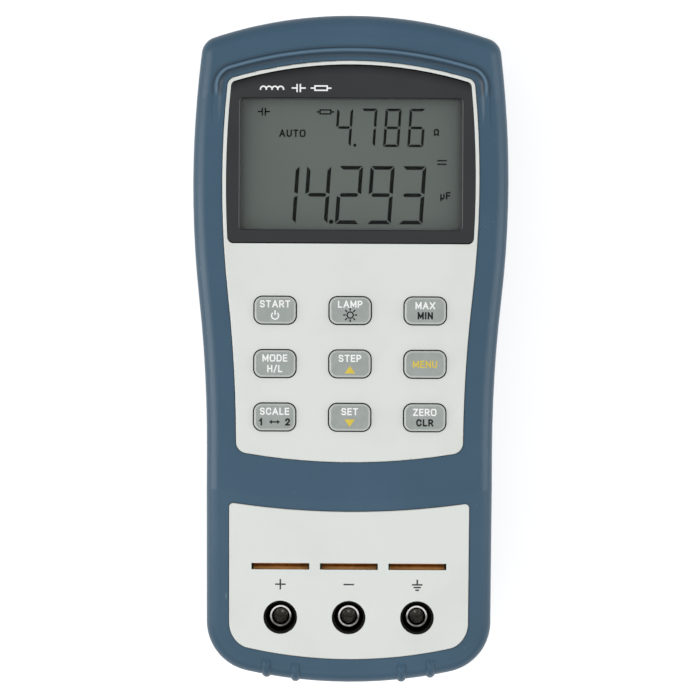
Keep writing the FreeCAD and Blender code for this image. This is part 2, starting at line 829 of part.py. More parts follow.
def front_rib(x, low):
    """A half-round rib that runs down the foot from a slanting upper end."""
    edge_y = foot_edge_y(x)
    radius = size("grip_round")
    deep = size("rib_radius") - size("rib_rise")
    top = front_z(x, edge_y + radius)
    bend = radius - deep
    middle = V(x, edge_y + radius, top - radius)
    diagonal = bend / math.sqrt(2)
    start = V(x, edge_y + size("rib_reach"), top - deep)
    first = V(x, edge_y + radius, top - deep)
    second = V(x, edge_y + deep, top - radius)
    arc = Part.Arc(first, middle + V(0, -diagonal, diagonal), second).toShape()
    path = Part.Wire([Part.makeLine(start, first), arc, Part.makeLine(second, V(x, edge_y + deep, low))])
    ring = Part.Wire(Part.makeCircle(size("rib_radius"), start, V(0, 1, 0)))
    rib = path.makePipeShell([ring], True, False)
    side = x - size("rib_radius")
    crest = top + size("rib_rise")
    corners = [V(side, start.y, top), V(side, start.y - size("rib_lead"), crest), V(side, start.y, crest),
               V(side, start.y, top)]
    wedge = Part.Face(Part.makePolygon(corners)).extrude(V(2 * size("rib_radius"), 0, 0))
    return rib.cut(wedge)


# Rear shell: tray with the battery box, the stand recess and the screw posts
def make_rear_shell():
    top = size("parting_height")
    wall = size("wall")
    skin = size("skin")
    back = size("back_recess")
    margin = size("back_margin")
    door_y = size("door_y")
    door_floor = size("door_inside") + size("door_gap")
    recess_width = size("stand_width") + 2 * size("stand_gap")
    recess_length = size("stand_length") + size("hub_radius") + 2 * size("stand_gap")
    recess_y = size("stand_y") + size("hub_radius") / 2
    shell = prism(case_face, skin, skin, top).fuse(prism(case_face, margin, back, top))
    hollow = prism(case_face, skin + wall, skin + wall, top)
    shell = shell.cut(hollow.fuse(prism(case_face, margin + wall, back + wall, top)))
    boxes = [(size("cell_width"), size("door_length"), door_y, size("cell_roof")),
             (recess_width, recess_length, recess_y, size("stand_roof")),
             (size("door_width"), size("door_length"), door_y, door_floor)]
    for width, length, y, roof in boxes:
        shell = shell.fuse(slab(width + 2 * wall, length + 2 * wall, 0, y, back, roof + wall))
    for x, y in CASE_SCREWS:
        shell = shell.fuse(post(x, y, size("case_boss_radius"), skin, top))
    for x, y in CASE_SCREWS:
        shell = shell.cut(post(x, y, size("case_screw_head") + size("fit_gap"), 0, size("case_screw_seat")))
        shell = shell.cut(post(x, y, size("case_screw_radius") + size("screw_gap"), 0, top))
    shell = shell.cut(slab(recess_width, recess_length, 0, recess_y, 0, size("stand_roof")))
    notch_floor = back + size("finger_notch_depth")
    shell = shell.cut(post(0, size("stand_bottom_y"), size("finger_notch_radius"), 0, notch_floor))
    pin = size("hinge_pin_radius") + size("hinge_gap")
    reach = recess_width / 2 + size("hinge_pin_length") + size("fit_gap")
    pin_end = V(-reach, size("hinge_y"), size("hinge_z"))
    shell = shell.cut(Part.makeCylinder(pin, 2 * reach, pin_end, V(1, 0, 0)))
    seat = rounded_rectangle(size("door_width"), size("door_length"), size("door_corner"))
    seat = prism(seat, -size("door_gap"), 0, door_floor)
    seat.translate(V(0, door_y, 0))
    cell_y = size("battery_bottom_y") - size("battery_gap") + size("cell_length") / 2
    cell = slab(size("cell_width"), size("cell_length"), 0, cell_y, 0, size("cell_roof"))
    shell = shell.cut(seat).cut(cell)
    pilot = size("door_screw_radius") + size("screw_gap")
    pilot_top = size("door_inside") + size("door_screw_grip")
    return shell.cut(post(0, size("door_screw_y"), pilot, 0, pilot_top)).removeSplitter()


# Rear grip: rubbery tray round the rear shell, which it leaves bare in the middle
def make_rear_grip():
    top = size("parting_height") - size("parting_gap") / 2
    skin = size("grip_thickness")
    grip = prism(case_face, 0, 0, top)
    outline = case_face(0).OuterWire
    rim = [edge for edge in grip.Edges if edge.BoundBox.ZMax < 0.01 and runs_along(edge, outline)]
    grip = grip.makeFillet(size("grip_round"), rim)
    deep = size("rib_radius") - size("rib_rise")
    for x in RIBS:
        y = foot_edge_y(x) + deep
        grip = grip.fuse(post(x, y, size("rib_radius"), size("rib_start"), top))
        grip = grip.fuse(Part.makeSphere(size("rib_radius"), V(x, y, size("rib_start"))))
    grip = grip.cut(prism(case_face, skin, skin, FAR))
    grip = grip.cut(prism(case_face, size("back_margin") - size("panel_gap"), -1, FAR))
    for x, y in CASE_SCREWS:
        grip = grip.cut(post(x, y, size("case_screw_head") + size("fit_gap"), -1, FAR))
    return grip.removeSplitter()


front_shell = feature("front_shell", make_front_shell())
front_grip = feature("front_grip", make_front_grip())
rear_shell = feature("rear_shell", make_rear_shell())
rear_grip = feature("rear_grip", make_rear_grip())

# Display window: a flat pane let into the upper panel
window_low = size("window_low")
feature("display_window", prism(window_face, 0, window_low, window_low + size("window_thickness")))

# Display module: glass, light guide and rubber connectors in a holder that stands on the board
LCD_WIDTH = "view_width + 2 * lcd_border"
LCD_LENGTH = "view_length + 2 * lcd_border"
keep(block("lcd_glass", LCD_WIDTH, LCD_LENGTH, "lcd_thickness", "0", "view_y", "lcd_low"), "lcd_glass")
guide = block("light_guide", LCD_WIDTH, "view_length", "guide_thickness", "0", "view_y", "guide_low")
keep(guide, "light_guide")
strips = []
for side, sign in (("bottom", "-"), ("top", "+")):
    strip_y = "view_y %s (view_length / 2 + lcd_border - zebra_width / 2)" % sign
    strips.append(block("zebra_" + side, "view_width", "zebra_width", "lcd_low - board_top",
                        "0", strip_y, "board_top"))
keep(joined("zebra_strips", "Part::Compound", strips), "zebra_strips")
frames = []
for side, margin in (("outer", " + 2 * fit_gap + 2 * holder_wall"), ("inner", " + 2 * fit_gap")):
    frames.append(block("holder_" + side, LCD_WIDTH + margin, LCD_LENGTH + margin, "lcd_top - board_top",
                        "0", "view_y", "board_top"))
keep(cut("lcd_holder", *frames), "lcd_holder")

# Keys: hard caps with a flange that stops under the panel and a stem over its dome
for name, (column, row) in KEY_PLACES.items():
    body = doc.addObject("PartDesign::Body", name)
    outline = outline_sketch(body, "XY_Plane", rectangle("key_width", "key_length"), "flange_low")
    cap = pad(body, outline, "key_top - flange_low")
    cap = dress_edges(body, "PartDesign::Fillet", cap, "key_corner", upright)
    dress_edges(body, "PartDesign::Chamfer", cap, "key_bevel", level_at(size("key_top")))
    flange = rectangle("key_width + 2 * flange_width", "key_length + 2 * flange_width")
    pad(body, outline_sketch(body, "XY_Plane", flange, "flange_low"), "flange_thickness")
    stem = rectangle("stem_width", "stem_length")
    pad(body, outline_sketch(body, "XY_Plane", stem, "stem_low"), "stem_depth")
    bind(body, Placement__Base__x="%d * key_pitch_x" % column)
    bind(body, Placement__Base__y="key_row_y + %d * key_pitch_y" % row)
    keep(body, name)

# Key mat: silicone sheet on the board with one blunt dome under each key
MAT_WIDTH = "2 * key_pitch_x + key_width + 2 * mat_margin"
MAT_LENGTH = "2 * key_pitch_y + key_length + 2 * mat_margin"
mat_items = [block("mat_sheet", MAT_WIDTH, MAT_LENGTH, "mat_thickness", "0", "key_row_y", "board_top")]
for name, (column, row) in KEY_PLACES.items():
    dome = doc.addObject("Part::Cone", name + "_dome")
    bind(dome, Radius1="dome_base", Radius2="dome_crown", Height="dome_top - board_top")
    bind(dome, Placement__Base__x="%d * key_pitch_x" % column, Placement__Base__z="board_top")
    bind(dome, Placement__Base__y="key_row_y + %d * key_pitch_y" % row)
    mat_items.append(dome)
keep(joined("key_mat", "Part::MultiFuse", mat_items), "key_mat")

# Circuit board with its screws and larger chips
board = block("board_blank", "board_width", "board_length", "board_thickness", "0", "board_y", "board_low")
holes = []
screws = []
SHANK_LENGTH = "board_screw_head_depth + board_thickness + board_screw_grip - fit_gap"
HEAD_LOW = "board_low - board_screw_head_depth"
for side, sign in (("left", "-"), ("right", "")):
    for boss in ("boss_top", "boss_mid", "boss_low"):
        tag = "_%s_%s" % (boss, side)
        place = (sign + boss + "_x", boss + "_y")
        hole_radius = "board_screw_radius + screw_gap"
        holes.append(rod("hole" + tag, hole_radius, "board_thickness", *place, "board_low"))
        shank = rod("shank" + tag, "board_screw_radius", SHANK_LENGTH, *place, HEAD_LOW)
        head = rod("head" + tag, "board_screw_head", "board_screw_head_depth", *place, HEAD_LOW)
        screws.append(joined("screw" + tag, "Part::MultiFuse", [shank, head]))
keep(cut("main_board", board, joined("board_holes", "Part::Compound", holes)), "main_board")
keep(joined("board_screws", "Part::Compound", screws), "board_screws")
chips = []
for side, sign in (("left", "-"), ("right", "")):
    chips.append(block("chip_" + side, "chip_size", "chip_size", "chip_thickness",
                       sign + "chip_pitch / 2", "chip_y", "board_low - chip_thickness"))
keep(joined("board_chips", "Part::Compound", chips), "board_chips")


# Slot contacts: two copper leaves a slot, which lean together and flare at the mouth
def make_leaf(side):
    thick = size("contact_thickness")
    pinch = size("contact_pinch")
    base = pinch + size("contact_flare")
    high = size("contact_height")
    waist = size("contact_pinch_height")
    foot = base + size("contact_foot")
    corners = [(foot, 0), (foot, thick), (base + thick, thick), (pinch + thick, waist),
               (base + thick, high), (base, high), (pinch, waist), (base, 0), (foot, 0)]
    outline = [V(0, side * y, z) for y, z in corners]
    leaf = Part.Face(Part.makePolygon(outline)).extrude(V(size("contact_width"), 0, 0))
    leaf.translate(V(-size("contact_width") / 2, size("slot_y"), size("board_top")))
    return leaf


leaves = []
for step in JACK_STEPS.values():
    for side in (-1, 1):
        leaf = make_leaf(side)
        leaf.translate(V(step * size("jack_pitch"), 0, 0))
        leaves.append(leaf)
feature("slot_contacts", Part.makeCompound(leaves))

# Plug sockets: turned metal sleeves in black insulating cups
for name, step in JACK_STEPS.items():
    cup = doc.addObject("PartDesign::Body", "jack_body_" + name)
    hole = "sleeve_radius + screw_gap"
    cup_profile = [(hole, "jack_low"), ("jack_flange_radius", "jack_low"),
                   ("jack_flange_radius", "jack_flange_top"),
                   ("jack_neck_radius", "jack_flange_top"), ("jack_neck_radius", "jack_top"),
                   ("jack_well_radius", "jack_top"), ("jack_well_radius", "jack_low + jack_floor"),
                   (hole, "jack_low + jack_floor")]
    turned(cup, outline_sketch(cup, "XZ_Plane", cup_profile))
    sleeve = doc.addObject("PartDesign::Body", "jack_sleeve_" + name)
    sleeve_profile = [("0", "sleeve_low"), ("sleeve_radius", "sleeve_low"), ("sleeve_radius", "sleeve_top"),
                      ("sleeve_mouth", "sleeve_top"), ("sleeve_bore", "sleeve_top - sleeve_lead"),
                      ("sleeve_bore", "sleeve_low + sleeve_end"),
                      ("0", "sleeve_low + sleeve_end")]
    turned(sleeve, outline_sketch(sleeve, "XZ_Plane", sleeve_profile))
    for body in (cup, sleeve):
        bind(body, Placement__Base__x="%d * jack_pitch" % step, Placement__Base__y="jack_y")
        keep(body, body.Name)

# Battery: 9 V block with two snap terminals, and the clip that presses on them
battery = doc.addObject("PartDesign::Body", "battery_block")
outline = outline_sketch(battery, "XY_Plane", rectangle("battery_width", "battery_length"), "cell_low")
can = pad(battery, outline, "battery_depth")
dress_edges(battery, "PartDesign::Fillet", can, "battery_round", lengthwise)
bind(battery, Placement__Base__y="(battery_bottom_y + battery_top_y) / 2")
TERMINAL_Z = "cell_low + battery_depth / 2"
snaps = [battery]
sockets = []
for side, sign in (("left", "-"), ("right", "")):
    place = (sign + "terminal_spacing / 2", "battery_top_y", TERMINAL_Z, ALONG_Y)
    snaps.append(rod("snap_" + side, "terminal_radius", "terminal_length", *place))
    sockets.append(rod("socket_" + side, "terminal_radius + fit_gap", "terminal_length + fit_gap", *place))
keep(joined("battery", "Part::MultiFuse", snaps), "battery")
clip_y = "battery_top_y + fit_gap + (terminal_length + clip_length) / 2"
clip_plate = block("clip_plate", "battery_width", "terminal_length + clip_length", "clip_depth", "0", clip_y,
                   TERMINAL_Z + " - clip_depth / 2")
keep(cut("battery_clip", clip_plate, joined("clip_sockets", "Part::Compound", sockets)), "battery_clip")

# Battery door: flat cover with a sunk screw and thumb grooves
door = doc.addObject("PartDesign::Body", "door_blank")
outline = outline_sketch(door, "XY_Plane", rectangle("door_width", "door_length"), "back_recess")
panel = pad(door, outline, "door_thickness")
dress_edges(door, "PartDesign::Fillet", panel, "door_corner", upright)
bind(door, Placement__Base__y="door_y")
place = ("0", "door_screw_y")
sink_depth = "back_recess + door_screw_head_depth"
door_tools = [rod("door_hole", "door_screw_radius + screw_gap", "2 * door_thickness", *place, "0"),
              rod("door_sink", "door_screw_head + fit_gap", sink_depth, *place, "0")]
for step in range(int(size("door_groove_count"))):
    groove_y = "door_groove_y + %d * door_groove_pitch" % step
    door_tools.append(block("door_groove_%d" % step, "door_groove_width", "door_groove_pitch / 2",
                            "back_recess + door_groove_depth", "0", groove_y, "0"))
keep(cut("door_cut", door, joined("door_tools", "Part::Compound", door_tools)), "battery_door")
shank_length = "door_thickness + door_screw_grip - 2 * fit_gap"
shank = rod("door_shank", "door_screw_radius", shank_length, *place, "back_recess + fit_gap")
head = rod("door_head", "door_screw_head", "door_screw_head_depth - fit_gap", *place, "back_recess + fit_gap")
keep(joined("door_screw", "Part::MultiFuse", [shank, head]), "door_screw")

# Tilt stand: a plate, hollowed inside, that swings on two stub pins in the back
plate = doc.addObject("PartDesign::Body", "stand_plate")
outline = outline_sketch(plate, "XY_Plane", rectangle("stand_width", "stand_length"), "stand_low")
blank = pad(plate, outline, "stand_thickness")
dress_edges(plate, "PartDesign::Fillet", blank, "stand_corner", lower_upright)
bind(plate, Placement__Base__y="stand_y")
pockets = []
for side, sign in (("left", "-"), ("right", "")):
    pockets.append(block("stand_pocket_" + side, "(stand_width - 3 * stand_bar) / 2",
                         "stand_length - 2 * stand_bar", "stand_thickness",
                         sign + "(stand_width - stand_bar) / 4", "stand_y", "stand_high - stand_pocket"))
ribbed = cut("stand_ribbed", plate, joined("stand_pockets", "Part::Compound", pockets))
place = ("hinge_y", "hinge_z", ALONG_X)
hub = rod("stand_hub", "hub_radius", "stand_width", "-stand_width / 2", *place)
pins = rod("stand_pins", "hinge_pin_radius", "stand_width + 2 * hinge_pin_length + 2 * stand_gap",
           "-stand_width / 2 - hinge_pin_length - stand_gap", *place)
keep(joined("tilt_stand", "Part::MultiFuse", [ribbed, hub, pins]), "tilt_stand")

# Data socket on the board and its rubber cover in the side of the grip
port_x = "-waist_width / 2 + skin + port_set_back + port_length / 2"
port_shell = block("port_shell", "port_length", "port_width", "port_depth", port_x, "port_y", "port_low")
port_hollow = block("port_hollow", "port_length", "port_width - 2 * port_wall", "port_depth - 2 * port_wall",
                    port_x + " - port_length / 3", "port_y", "port_low + port_wall")
keep(cut("usb_socket", port_shell, port_hollow), "usb_socket")
cover_low = "port_z - cover_height / 2"
flap = block("cover_flap", "cover_thickness", "cover_length", "cover_height",
             "-waist_width / 2 + cover_thickness / 2", "port_y", cover_low)
scoop = rod("cover_scoop", "cover_scoop_radius", "cover_height",
            "-waist_width / 2 - cover_scoop_radius + cover_scoop_depth", "port_y", cover_low)
keep(cut("port_cover", flap, scoop), "port_cover")

# Case screws from the back into the front bosses
case_items = []
SHANK_LENGTH = "case_screw_head_depth + parting_height - case_screw_seat + case_screw_grip"
HEAD_LOW = "case_screw_seat - case_screw_head_depth"
for end in ("screw_top", "screw_low"):
    for side, sign in (("left", "-"), ("right", "")):
        tag = "_%s_%s" % (end, side)
        place = (sign + end + "_x", end + "_y", HEAD_LOW)
        shank = rod("case_shank" + tag, "case_screw_radius", SHANK_LENGTH, *place)
        head = rod("case_head" + tag, "case_screw_head", "case_screw_head_depth", *place)
        case_items.append(joined("case" + tag, "Part::MultiFuse", [shank, head]))
keep(joined("case_screws", "Part::Compound", case_items), "case_screws")

# Check everything, then write one file a sub-part
doc.recompute()
for item in doc.Objects:
    if "Invalid" in item.State or "Error" in item.State:
        raise RuntimeError("%s failed: %s" % (item.Name, item.State))
for item in nodes:
    if item.Shape.isNull() or not item.Shape.isValid():
        raise RuntimeError("%s has no valid shape" % item.Label)
os.makedirs("parts", exist_ok=True)
for item in nodes:
    item.Shape.exportStep("parts/%s.step" % item.Label)
    print(item.Label, len(item.Shape.Solids), round(item.Shape.Volume, 1))
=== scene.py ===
import math
import bmesh
import bpy
from mathutils import Matrix, Vector


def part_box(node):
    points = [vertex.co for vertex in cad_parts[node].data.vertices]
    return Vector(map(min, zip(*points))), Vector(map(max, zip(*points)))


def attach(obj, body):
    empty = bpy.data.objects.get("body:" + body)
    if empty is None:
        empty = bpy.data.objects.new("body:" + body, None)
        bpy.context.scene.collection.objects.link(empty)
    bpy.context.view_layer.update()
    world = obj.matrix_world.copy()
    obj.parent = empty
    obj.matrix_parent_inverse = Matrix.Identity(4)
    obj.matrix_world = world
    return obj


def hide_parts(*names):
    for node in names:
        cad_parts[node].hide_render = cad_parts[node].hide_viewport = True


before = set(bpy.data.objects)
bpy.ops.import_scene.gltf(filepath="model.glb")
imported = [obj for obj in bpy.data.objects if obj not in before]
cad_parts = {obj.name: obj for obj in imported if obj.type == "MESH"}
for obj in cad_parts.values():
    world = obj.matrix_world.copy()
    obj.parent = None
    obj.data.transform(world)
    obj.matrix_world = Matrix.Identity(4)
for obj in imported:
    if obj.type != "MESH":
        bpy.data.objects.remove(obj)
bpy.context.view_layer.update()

# Front and rear shells: the hard mouldings that make both pale panels and the middle of the back.
# Injection moulded ABS in warm off-white with a fine spark-eroded grain; the grip laps over their rims.
MM = 0.001
SHELL_COLOURS = [(0.672, 0.694, 0.660), (0.700, 0.726, 0.698), (0.704, 0.730, 0.704)]
GAP_SHADE = (0.012, 0.012, 0.012)
PANEL_SHADE = (0.40, 0.42, 0.40)
SHADE_REACH = 3.0 * MM
WALL_TURN = (0.35, 0.1)
MIX_UNDER = 6
MIX_OVER = 7
MIX_COLOUR = 2


def new_finish(name, colour, roughness, metallic=0.0, specular=0.5):
    """A plain finish to build on: its material and its shader."""
    finish = bpy.data.materials.new(name)
    finish.use_nodes = True
    shader = finish.node_tree.nodes["Principled BSDF"]
    shader.inputs["Base Color"].default_value = (*colour, 1.0)
    shader.inputs["Roughness"].default_value = roughness
    shader.inputs["Metallic"].default_value = metallic
    shader.inputs["Specular IOR Level"].default_value = specular
    return finish, shader


def add_node(finish, kind, links=(), **settings):
    """Add a node, set its inputs or properties by name, and link its inputs from other nodes' outputs."""
    tree = finish.node_tree
    node = tree.nodes.new("ShaderNode" + kind)
    for name, value in settings.items():
        label = name.replace("_", " ")
        if label in node.inputs:
            node.inputs[label].default_value = value
        else:
            setattr(node, name, value)
    for socket, output in links:
        tree.links.new(output, node.inputs[socket])
    return node


def place_on(finish):
    """A point's place in the object's frame."""
    return add_node(finish, "TexCoord").outputs["Object"]


def axes_of(finish, vector):
    """A vector's parts along X, Y and Z."""
    return add_node(finish, "SeparateXYZ", [("Vector", vector)]).outputs


def fade(finish, value, start, end, most=1.0, **settings):
    """Nought where a value is at start, rising to most where it is at end."""
    share = add_node(finish, "MapRange", [("Value", value)], From_Min=start, From_Max=end,
                     To_Max=most, **settings)
    return share.outputs["Result"]


def mottle(finish, shader, colours, scale, detail=4.0, contrast=(0.35, 0.65)):
    """Let the base colour drift between colours, in patches of about a metre over scale."""
    cloud = add_node(finish, "TexNoise", [("Vector", place_on(finish))], Scale=scale, Detail=detail)
    ramp = add_node(finish, "ValToRGB", [("Fac", cloud.outputs["Fac"])])
    stops = ramp.color_ramp.elements
    for number, colour in enumerate(colours):
        position = contrast[0] + (contrast[1] - contrast[0]) * number / (len(colours) - 1)
        stop = stops[0] if number == 0 else stops.new(position)
        stop.position = position
        stop.color = (*colour, 1.0)
    stops.remove(stops[-1])
    finish.node_tree.links.new(ramp.outputs["Color"], shader.inputs["Base Color"])
    return ramp.outputs["Color"]


def grain(finish, shader, scale, height, spread=0.0):
    """A fine surface grain: bump of a given height, and roughness that varies with it by spread."""
    pits = add_node(finish, "TexNoise", [("Vector", place_on(finish))], Scale=scale, Detail=3.0)
    bump = add_node(finish, "Bump", [("Height", pits.outputs["Fac"])], Strength=1.0, Distance=height)
    finish.node_tree.links.new(bump.outputs["Normal"], shader.inputs["Normal"])
    if spread:
        rough = shader.inputs["Roughness"].default_value
        sheen = add_node(finish, "MapRange", [("Value", pits.outputs["Fac"])],
                         To_Min=rough - spread, To_Max=rough + spread)
        finish.node_tree.links.new(sheen.outputs["Result"], shader.inputs["Roughness"])


def mix_over(finish, shader, share, under, colour):
    """Lay a colour over the one under it where share is high, and make the mix the base colour."""
    blend = add_node(finish, "Mix", [("Factor", share), (MIX_UNDER, under)], data_type="RGBA")
    blend.inputs[MIX_OVER].default_value = (*colour, 1.0)
    finish.node_tree.links.new(blend.outputs[MIX_COLOUR], shader.inputs["Base Color"])
    return blend.outputs[MIX_COLOUR]


def hollows(finish, reach, open_share, closed_share, most):
    """Nought on open surfaces, rising to most where other surfaces stand close around."""
    hollow = add_node(finish, "AmbientOcclusion", Distance=reach, samples=8)
    return fade(finish, hollow.outputs["AO"], open_share, closed_share, most)


def clothe(node, finish):
    """Give a CAD node its finish."""
    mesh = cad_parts[node].data
    mesh.materials.clear()
    mesh.materials.append(finish)


def turned_aside(finish, start, end):
    """Nought where a face's upward share is at start, rising to one where it has fallen to end."""
    surface = add_node(finish, "NewGeometry")
    return fade(finish, axes_of(finish, surface.outputs["Normal"])["Z"], start, end)


def shell_plastic(name):
    """The grained off-white plastic: its material, its shader and its colour."""
    finish, shader = new_finish(name, SHELL_COLOURS[1], roughness=0.45)
    colour = mottle(finish, shader, SHELL_COLOURS, scale=45.0)
    grain(finish, shader, scale=5200.0, height=0.01 * MM, spread=0.05)
    return finish, shader, colour


shell_finish, _, _ = shell_plastic("shell_offwhite_abs")
for node in ("rear_shell", "battery_door", "tilt_stand"):
    clothe(node, shell_finish)
front_finish, shader, colour = shell_plastic("front_offwhite_abs")
# Painted shade: the panel darkens where other parts stand close round it, and the walls of its holes and gaps
# are painted near black.
near = hollows(front_finish, SHADE_REACH, open_share=0.97, closed_share=0.6, most=0.7)
colour = mix_over(front_finish, shader, near, colour, PANEL_SHADE)
mix_over(front_finish, shader, turned_aside(front_finish, *WALL_TURN), colour, GAP_SHADE)
clothe("front_shell", front_finish)

# Grips: the blue frame round both case halves, with the arched brow, the cross band and the foot ribs.
# Soft thermoplastic rubber overmoulded on the shells; its satin skin picks up pale dust and scratches.
GRIP_COLOURS = [(0.026, 0.071, 0.115), (0.030, 0.078, 0.126), (0.035, 0.085, 0.135)]
SCUFF_COLOUR = (0.20, 0.25, 0.29)
DUST_SCALE = 230.0
DUST_SIZE = (0.042, 0.022)
SCRATCH_SCALE = 0.45
SCRATCH_STRETCH = (420.0, 95.0, 250.0)
SCRATCH_TURN = math.radians(24)
SCRATCH_SIZE = (0.05, 0.03)
HOLLOW_SHADE_COLOUR = (0.006, 0.016, 0.028)
HOLLOW_SHADE_REACH = 2.2 * MM
BROW_HIGHLIGHT_COLOUR = (0.095, 0.165, 0.235)
BROW_CENTRE = (0.0, -33.65 * MM, 0.0)
BROW_RADIUS = 117.0 * MM
BROW_CORNER = (32.0 * MM, 73.1 * MM, 0.0)
BROW_CORNER_RADIUS = 5.6 * MM
BROW_CORNER_X = 33.6 * MM
BROW_CORNER_BLEND = 0.2 * MM
BROW_END_Y = 71.0 * MM
BROW_END_BLEND = 1.0 * MM
BROW_LEVEL = 39.2 * MM
BROW_LEVEL_BLEND = 0.3 * MM
BROW_SHADE = [(-2.4, 0.0), (-1.6, 0.55), (-0.8, 0.8), (-0.5, 0.0),
              (0.4, 0.0), (0.6, 0.75), (0.9, 0.5), (1.7, 0.0)]
BROW_HIGHLIGHT = [(-0.65, 0.0), (-0.35, 0.9), (0.0, 0.9), (0.3, 0.0)]


def profile(finish, distance, stops):
    """A share that changes with a distance, from stops of millimetres and share."""
    first, last = stops[0][0], stops[-1][0]
    ramp = add_node(finish, "ValToRGB", [("Fac", fade(finish, distance, first * MM, last * MM))])
    marks = ramp.color_ramp.elements
    for reach, _ in stops[1:-1]:
        marks.new((reach - first) / (last - first))
    for mark, (_, share) in zip(marks, stops):
        mark.color = (share, share, share, 1.0)
    return ramp.outputs["Color"]


def less(finish, value, amount):
    """A value with a fixed amount taken off."""
    rest = add_node(finish, "Math", [(0, value)], operation="SUBTRACT")
    rest.inputs[1].default_value = amount
    return rest.outputs["Value"]


def with_point(finish, operation, vector, point):
    """A vector joined with a fixed point by one operation."""
    node = add_node(finish, "VectorMath", [(0, vector)], operation=operation)
    node.inputs[1].default_value = point
    return node.outputs["Vector"]


def distance_from(finish, vector, point):
    """A vector's distance from a fixed point."""
    node = add_node(finish, "VectorMath", [(0, vector)], operation="DISTANCE")
    node.inputs[1].default_value = point
    return node.outputs["Value"]


def level(finish, place):
    """A place brought down to the frame's ground, so that distances are seen from above."""
    return with_point(finish, "MULTIPLY", place, (1.0, 1.0, 0.0))


def times(finish, first, second):
    """The product of two shares."""
    return add_node(finish, "Math", [(0, first), (1, second)], operation="MULTIPLY").outputs["Value"]


def larger(finish, first, second):
    """The larger of two shares."""
    return add_node(finish, "Math", [(0, first), (1, second)], operation="MAXIMUM").outputs["Value"]


def brow_distance(finish, place):
    """Distance outward from the brow's crest: an arch that turns down at both ends in a small arc."""
    flat = level(finish, place)
    arch = less(finish, distance_from(finish, flat, BROW_CENTRE), BROW_RADIUS)
    folded = add_node(finish, "VectorMath", [(0, flat)], operation="ABSOLUTE").outputs["Vector"]
    past = with_point(finish, "SUBTRACT", folded, BROW_CORNER)
    past = with_point(finish, "MAXIMUM", past, (0.0, 0.0, 0.0))
    length = add_node(finish, "VectorMath", [(0, past)], operation="LENGTH").outputs["Value"]
    corner = less(finish, length, BROW_CORNER_RADIUS)
    turned = fade(finish, axes_of(finish, folded)["X"], BROW_CORNER_X - BROW_CORNER_BLEND,
                  BROW_CORNER_X + BROW_CORNER_BLEND)
    both = add_node(finish, "Mix", [("Factor", turned), ("A", arch), ("B", corner)], data_type="FLOAT")
    return both.outputs["Result"]


grip_finish, shader = new_finish("grip_blue_rubber", GRIP_COLOURS[1], roughness=0.40, specular=0.40)
skin = mottle(grip_finish, shader, GRIP_COLOURS, scale=38.0, detail=6.0, contrast=(0.3, 0.7))
place = place_on(grip_finish)
dust = add_node(grip_finish, "TexVoronoi", [("Vector", place)], Scale=DUST_SCALE)
specks = fade(grip_finish, dust.outputs["Distance"], *DUST_SIZE, most=0.6)
slant = add_node(grip_finish, "Mapping", [("Vector", place)], Scale=SCRATCH_STRETCH,
                 Rotation=(0.0, 0.0, SCRATCH_TURN))
hairs = add_node(grip_finish, "TexVoronoi", [("Vector", slant.outputs["Vector"])], Scale=SCRATCH_SCALE)
scratches = fade(grip_finish, hairs.outputs["Distance"], *SCRATCH_SIZE, most=0.35)
skin = mix_over(grip_finish, shader, larger(grip_finish, specks, scratches), skin, SCUFF_COLOUR)
# Painted shade: the rubber darkens in its hollows and where it meets other parts.
hollow_shade = hollows(grip_finish, HOLLOW_SHADE_REACH, open_share=0.85, closed_share=0.45, most=0.5)
skin = mix_over(grip_finish, shader, hollow_shade, skin, HOLLOW_SHADE_COLOUR)
# Painted shade and highlight along the brow: dark bands on either side of the bead and a light line on its
# crest.
axes = axes_of(grip_finish, place)
above = fade(grip_finish, axes["Z"], BROW_LEVEL, BROW_LEVEL + BROW_LEVEL_BLEND)
ahead = fade(grip_finish, axes["Y"], BROW_END_Y - BROW_END_BLEND, BROW_END_Y + BROW_END_BLEND)
here = times(grip_finish, above, ahead)
distance = brow_distance(grip_finish, place)
for stops, colour in ((BROW_SHADE, HOLLOW_SHADE_COLOUR), (BROW_HIGHLIGHT, BROW_HIGHLIGHT_COLOUR)):
    share = times(grip_finish, profile(grip_finish, distance, stops), here)
    skin = mix_over(grip_finish, shader, share, skin, colour)
grain(grip_finish, shader, scale=3600.0, height=0.012 * MM, spread=0.06)
for node in ("front_grip", "rear_grip", "port_cover"):
    clothe(node, grip_finish)

# Display window: an acrylic pane let into the upper panel, back-printed smoky black round a clear view.
# The print's inner edge turns down as a short dark skirt that masks the opening above the display glass.
WINDOW_EDGE = 0.22 * MM
VIEW_CORNER = 1.5 * MM
LCD_BORDER = 2.4 * MM
SKIRT_WIDTH = 0.3 * MM
SKIRT_GAP = 0.15 * MM
VIEW_LIP = 0.22 * MM
PANE_GAP = 0.12 * MM
WINDOW_SMOKE = [(0.027, 0.029, 0.031), (0.031, 0.033, 0.035)]
SMOKE_SHADE = (0.003, 0.003, 0.004)
SMOKE_EDGE_HIGHLIGHT = (0.115, 0.125, 0.128)
WINDOW_ARCH = 112.85 * MM
WINDOW_SHADE = [(-2.8, 0.0), (-1.4, 0.35), (0.0, 1.0)]
CHAMFER_TURN = (0.95, 0.85)
SIDE_TURN = (0.4, 0.6)
HEAD_TURN = (-0.4, -0.6)
PANE_TINTS = [(0.030, 0.034, 0.034), (0.036, 0.040, 0.040)]
PANE_COVER = 0.1
SAME_PLACE = 0.01 * MM


def shifted(low, high, inset):
    """A rectangle's corners drawn in by inset."""
    step = Vector((inset, inset, 0.0))
    return low + step, high - step


def arc_points(x, y, radius, start, end, steps=24):
    """Points along an arc between two angles in degrees."""
    angles = [math.radians(start + (end - start) * step / steps) for step in range(steps + 1)]
    return [(x + radius * math.cos(angle), y + radius * math.sin(angle)) for angle in angles]


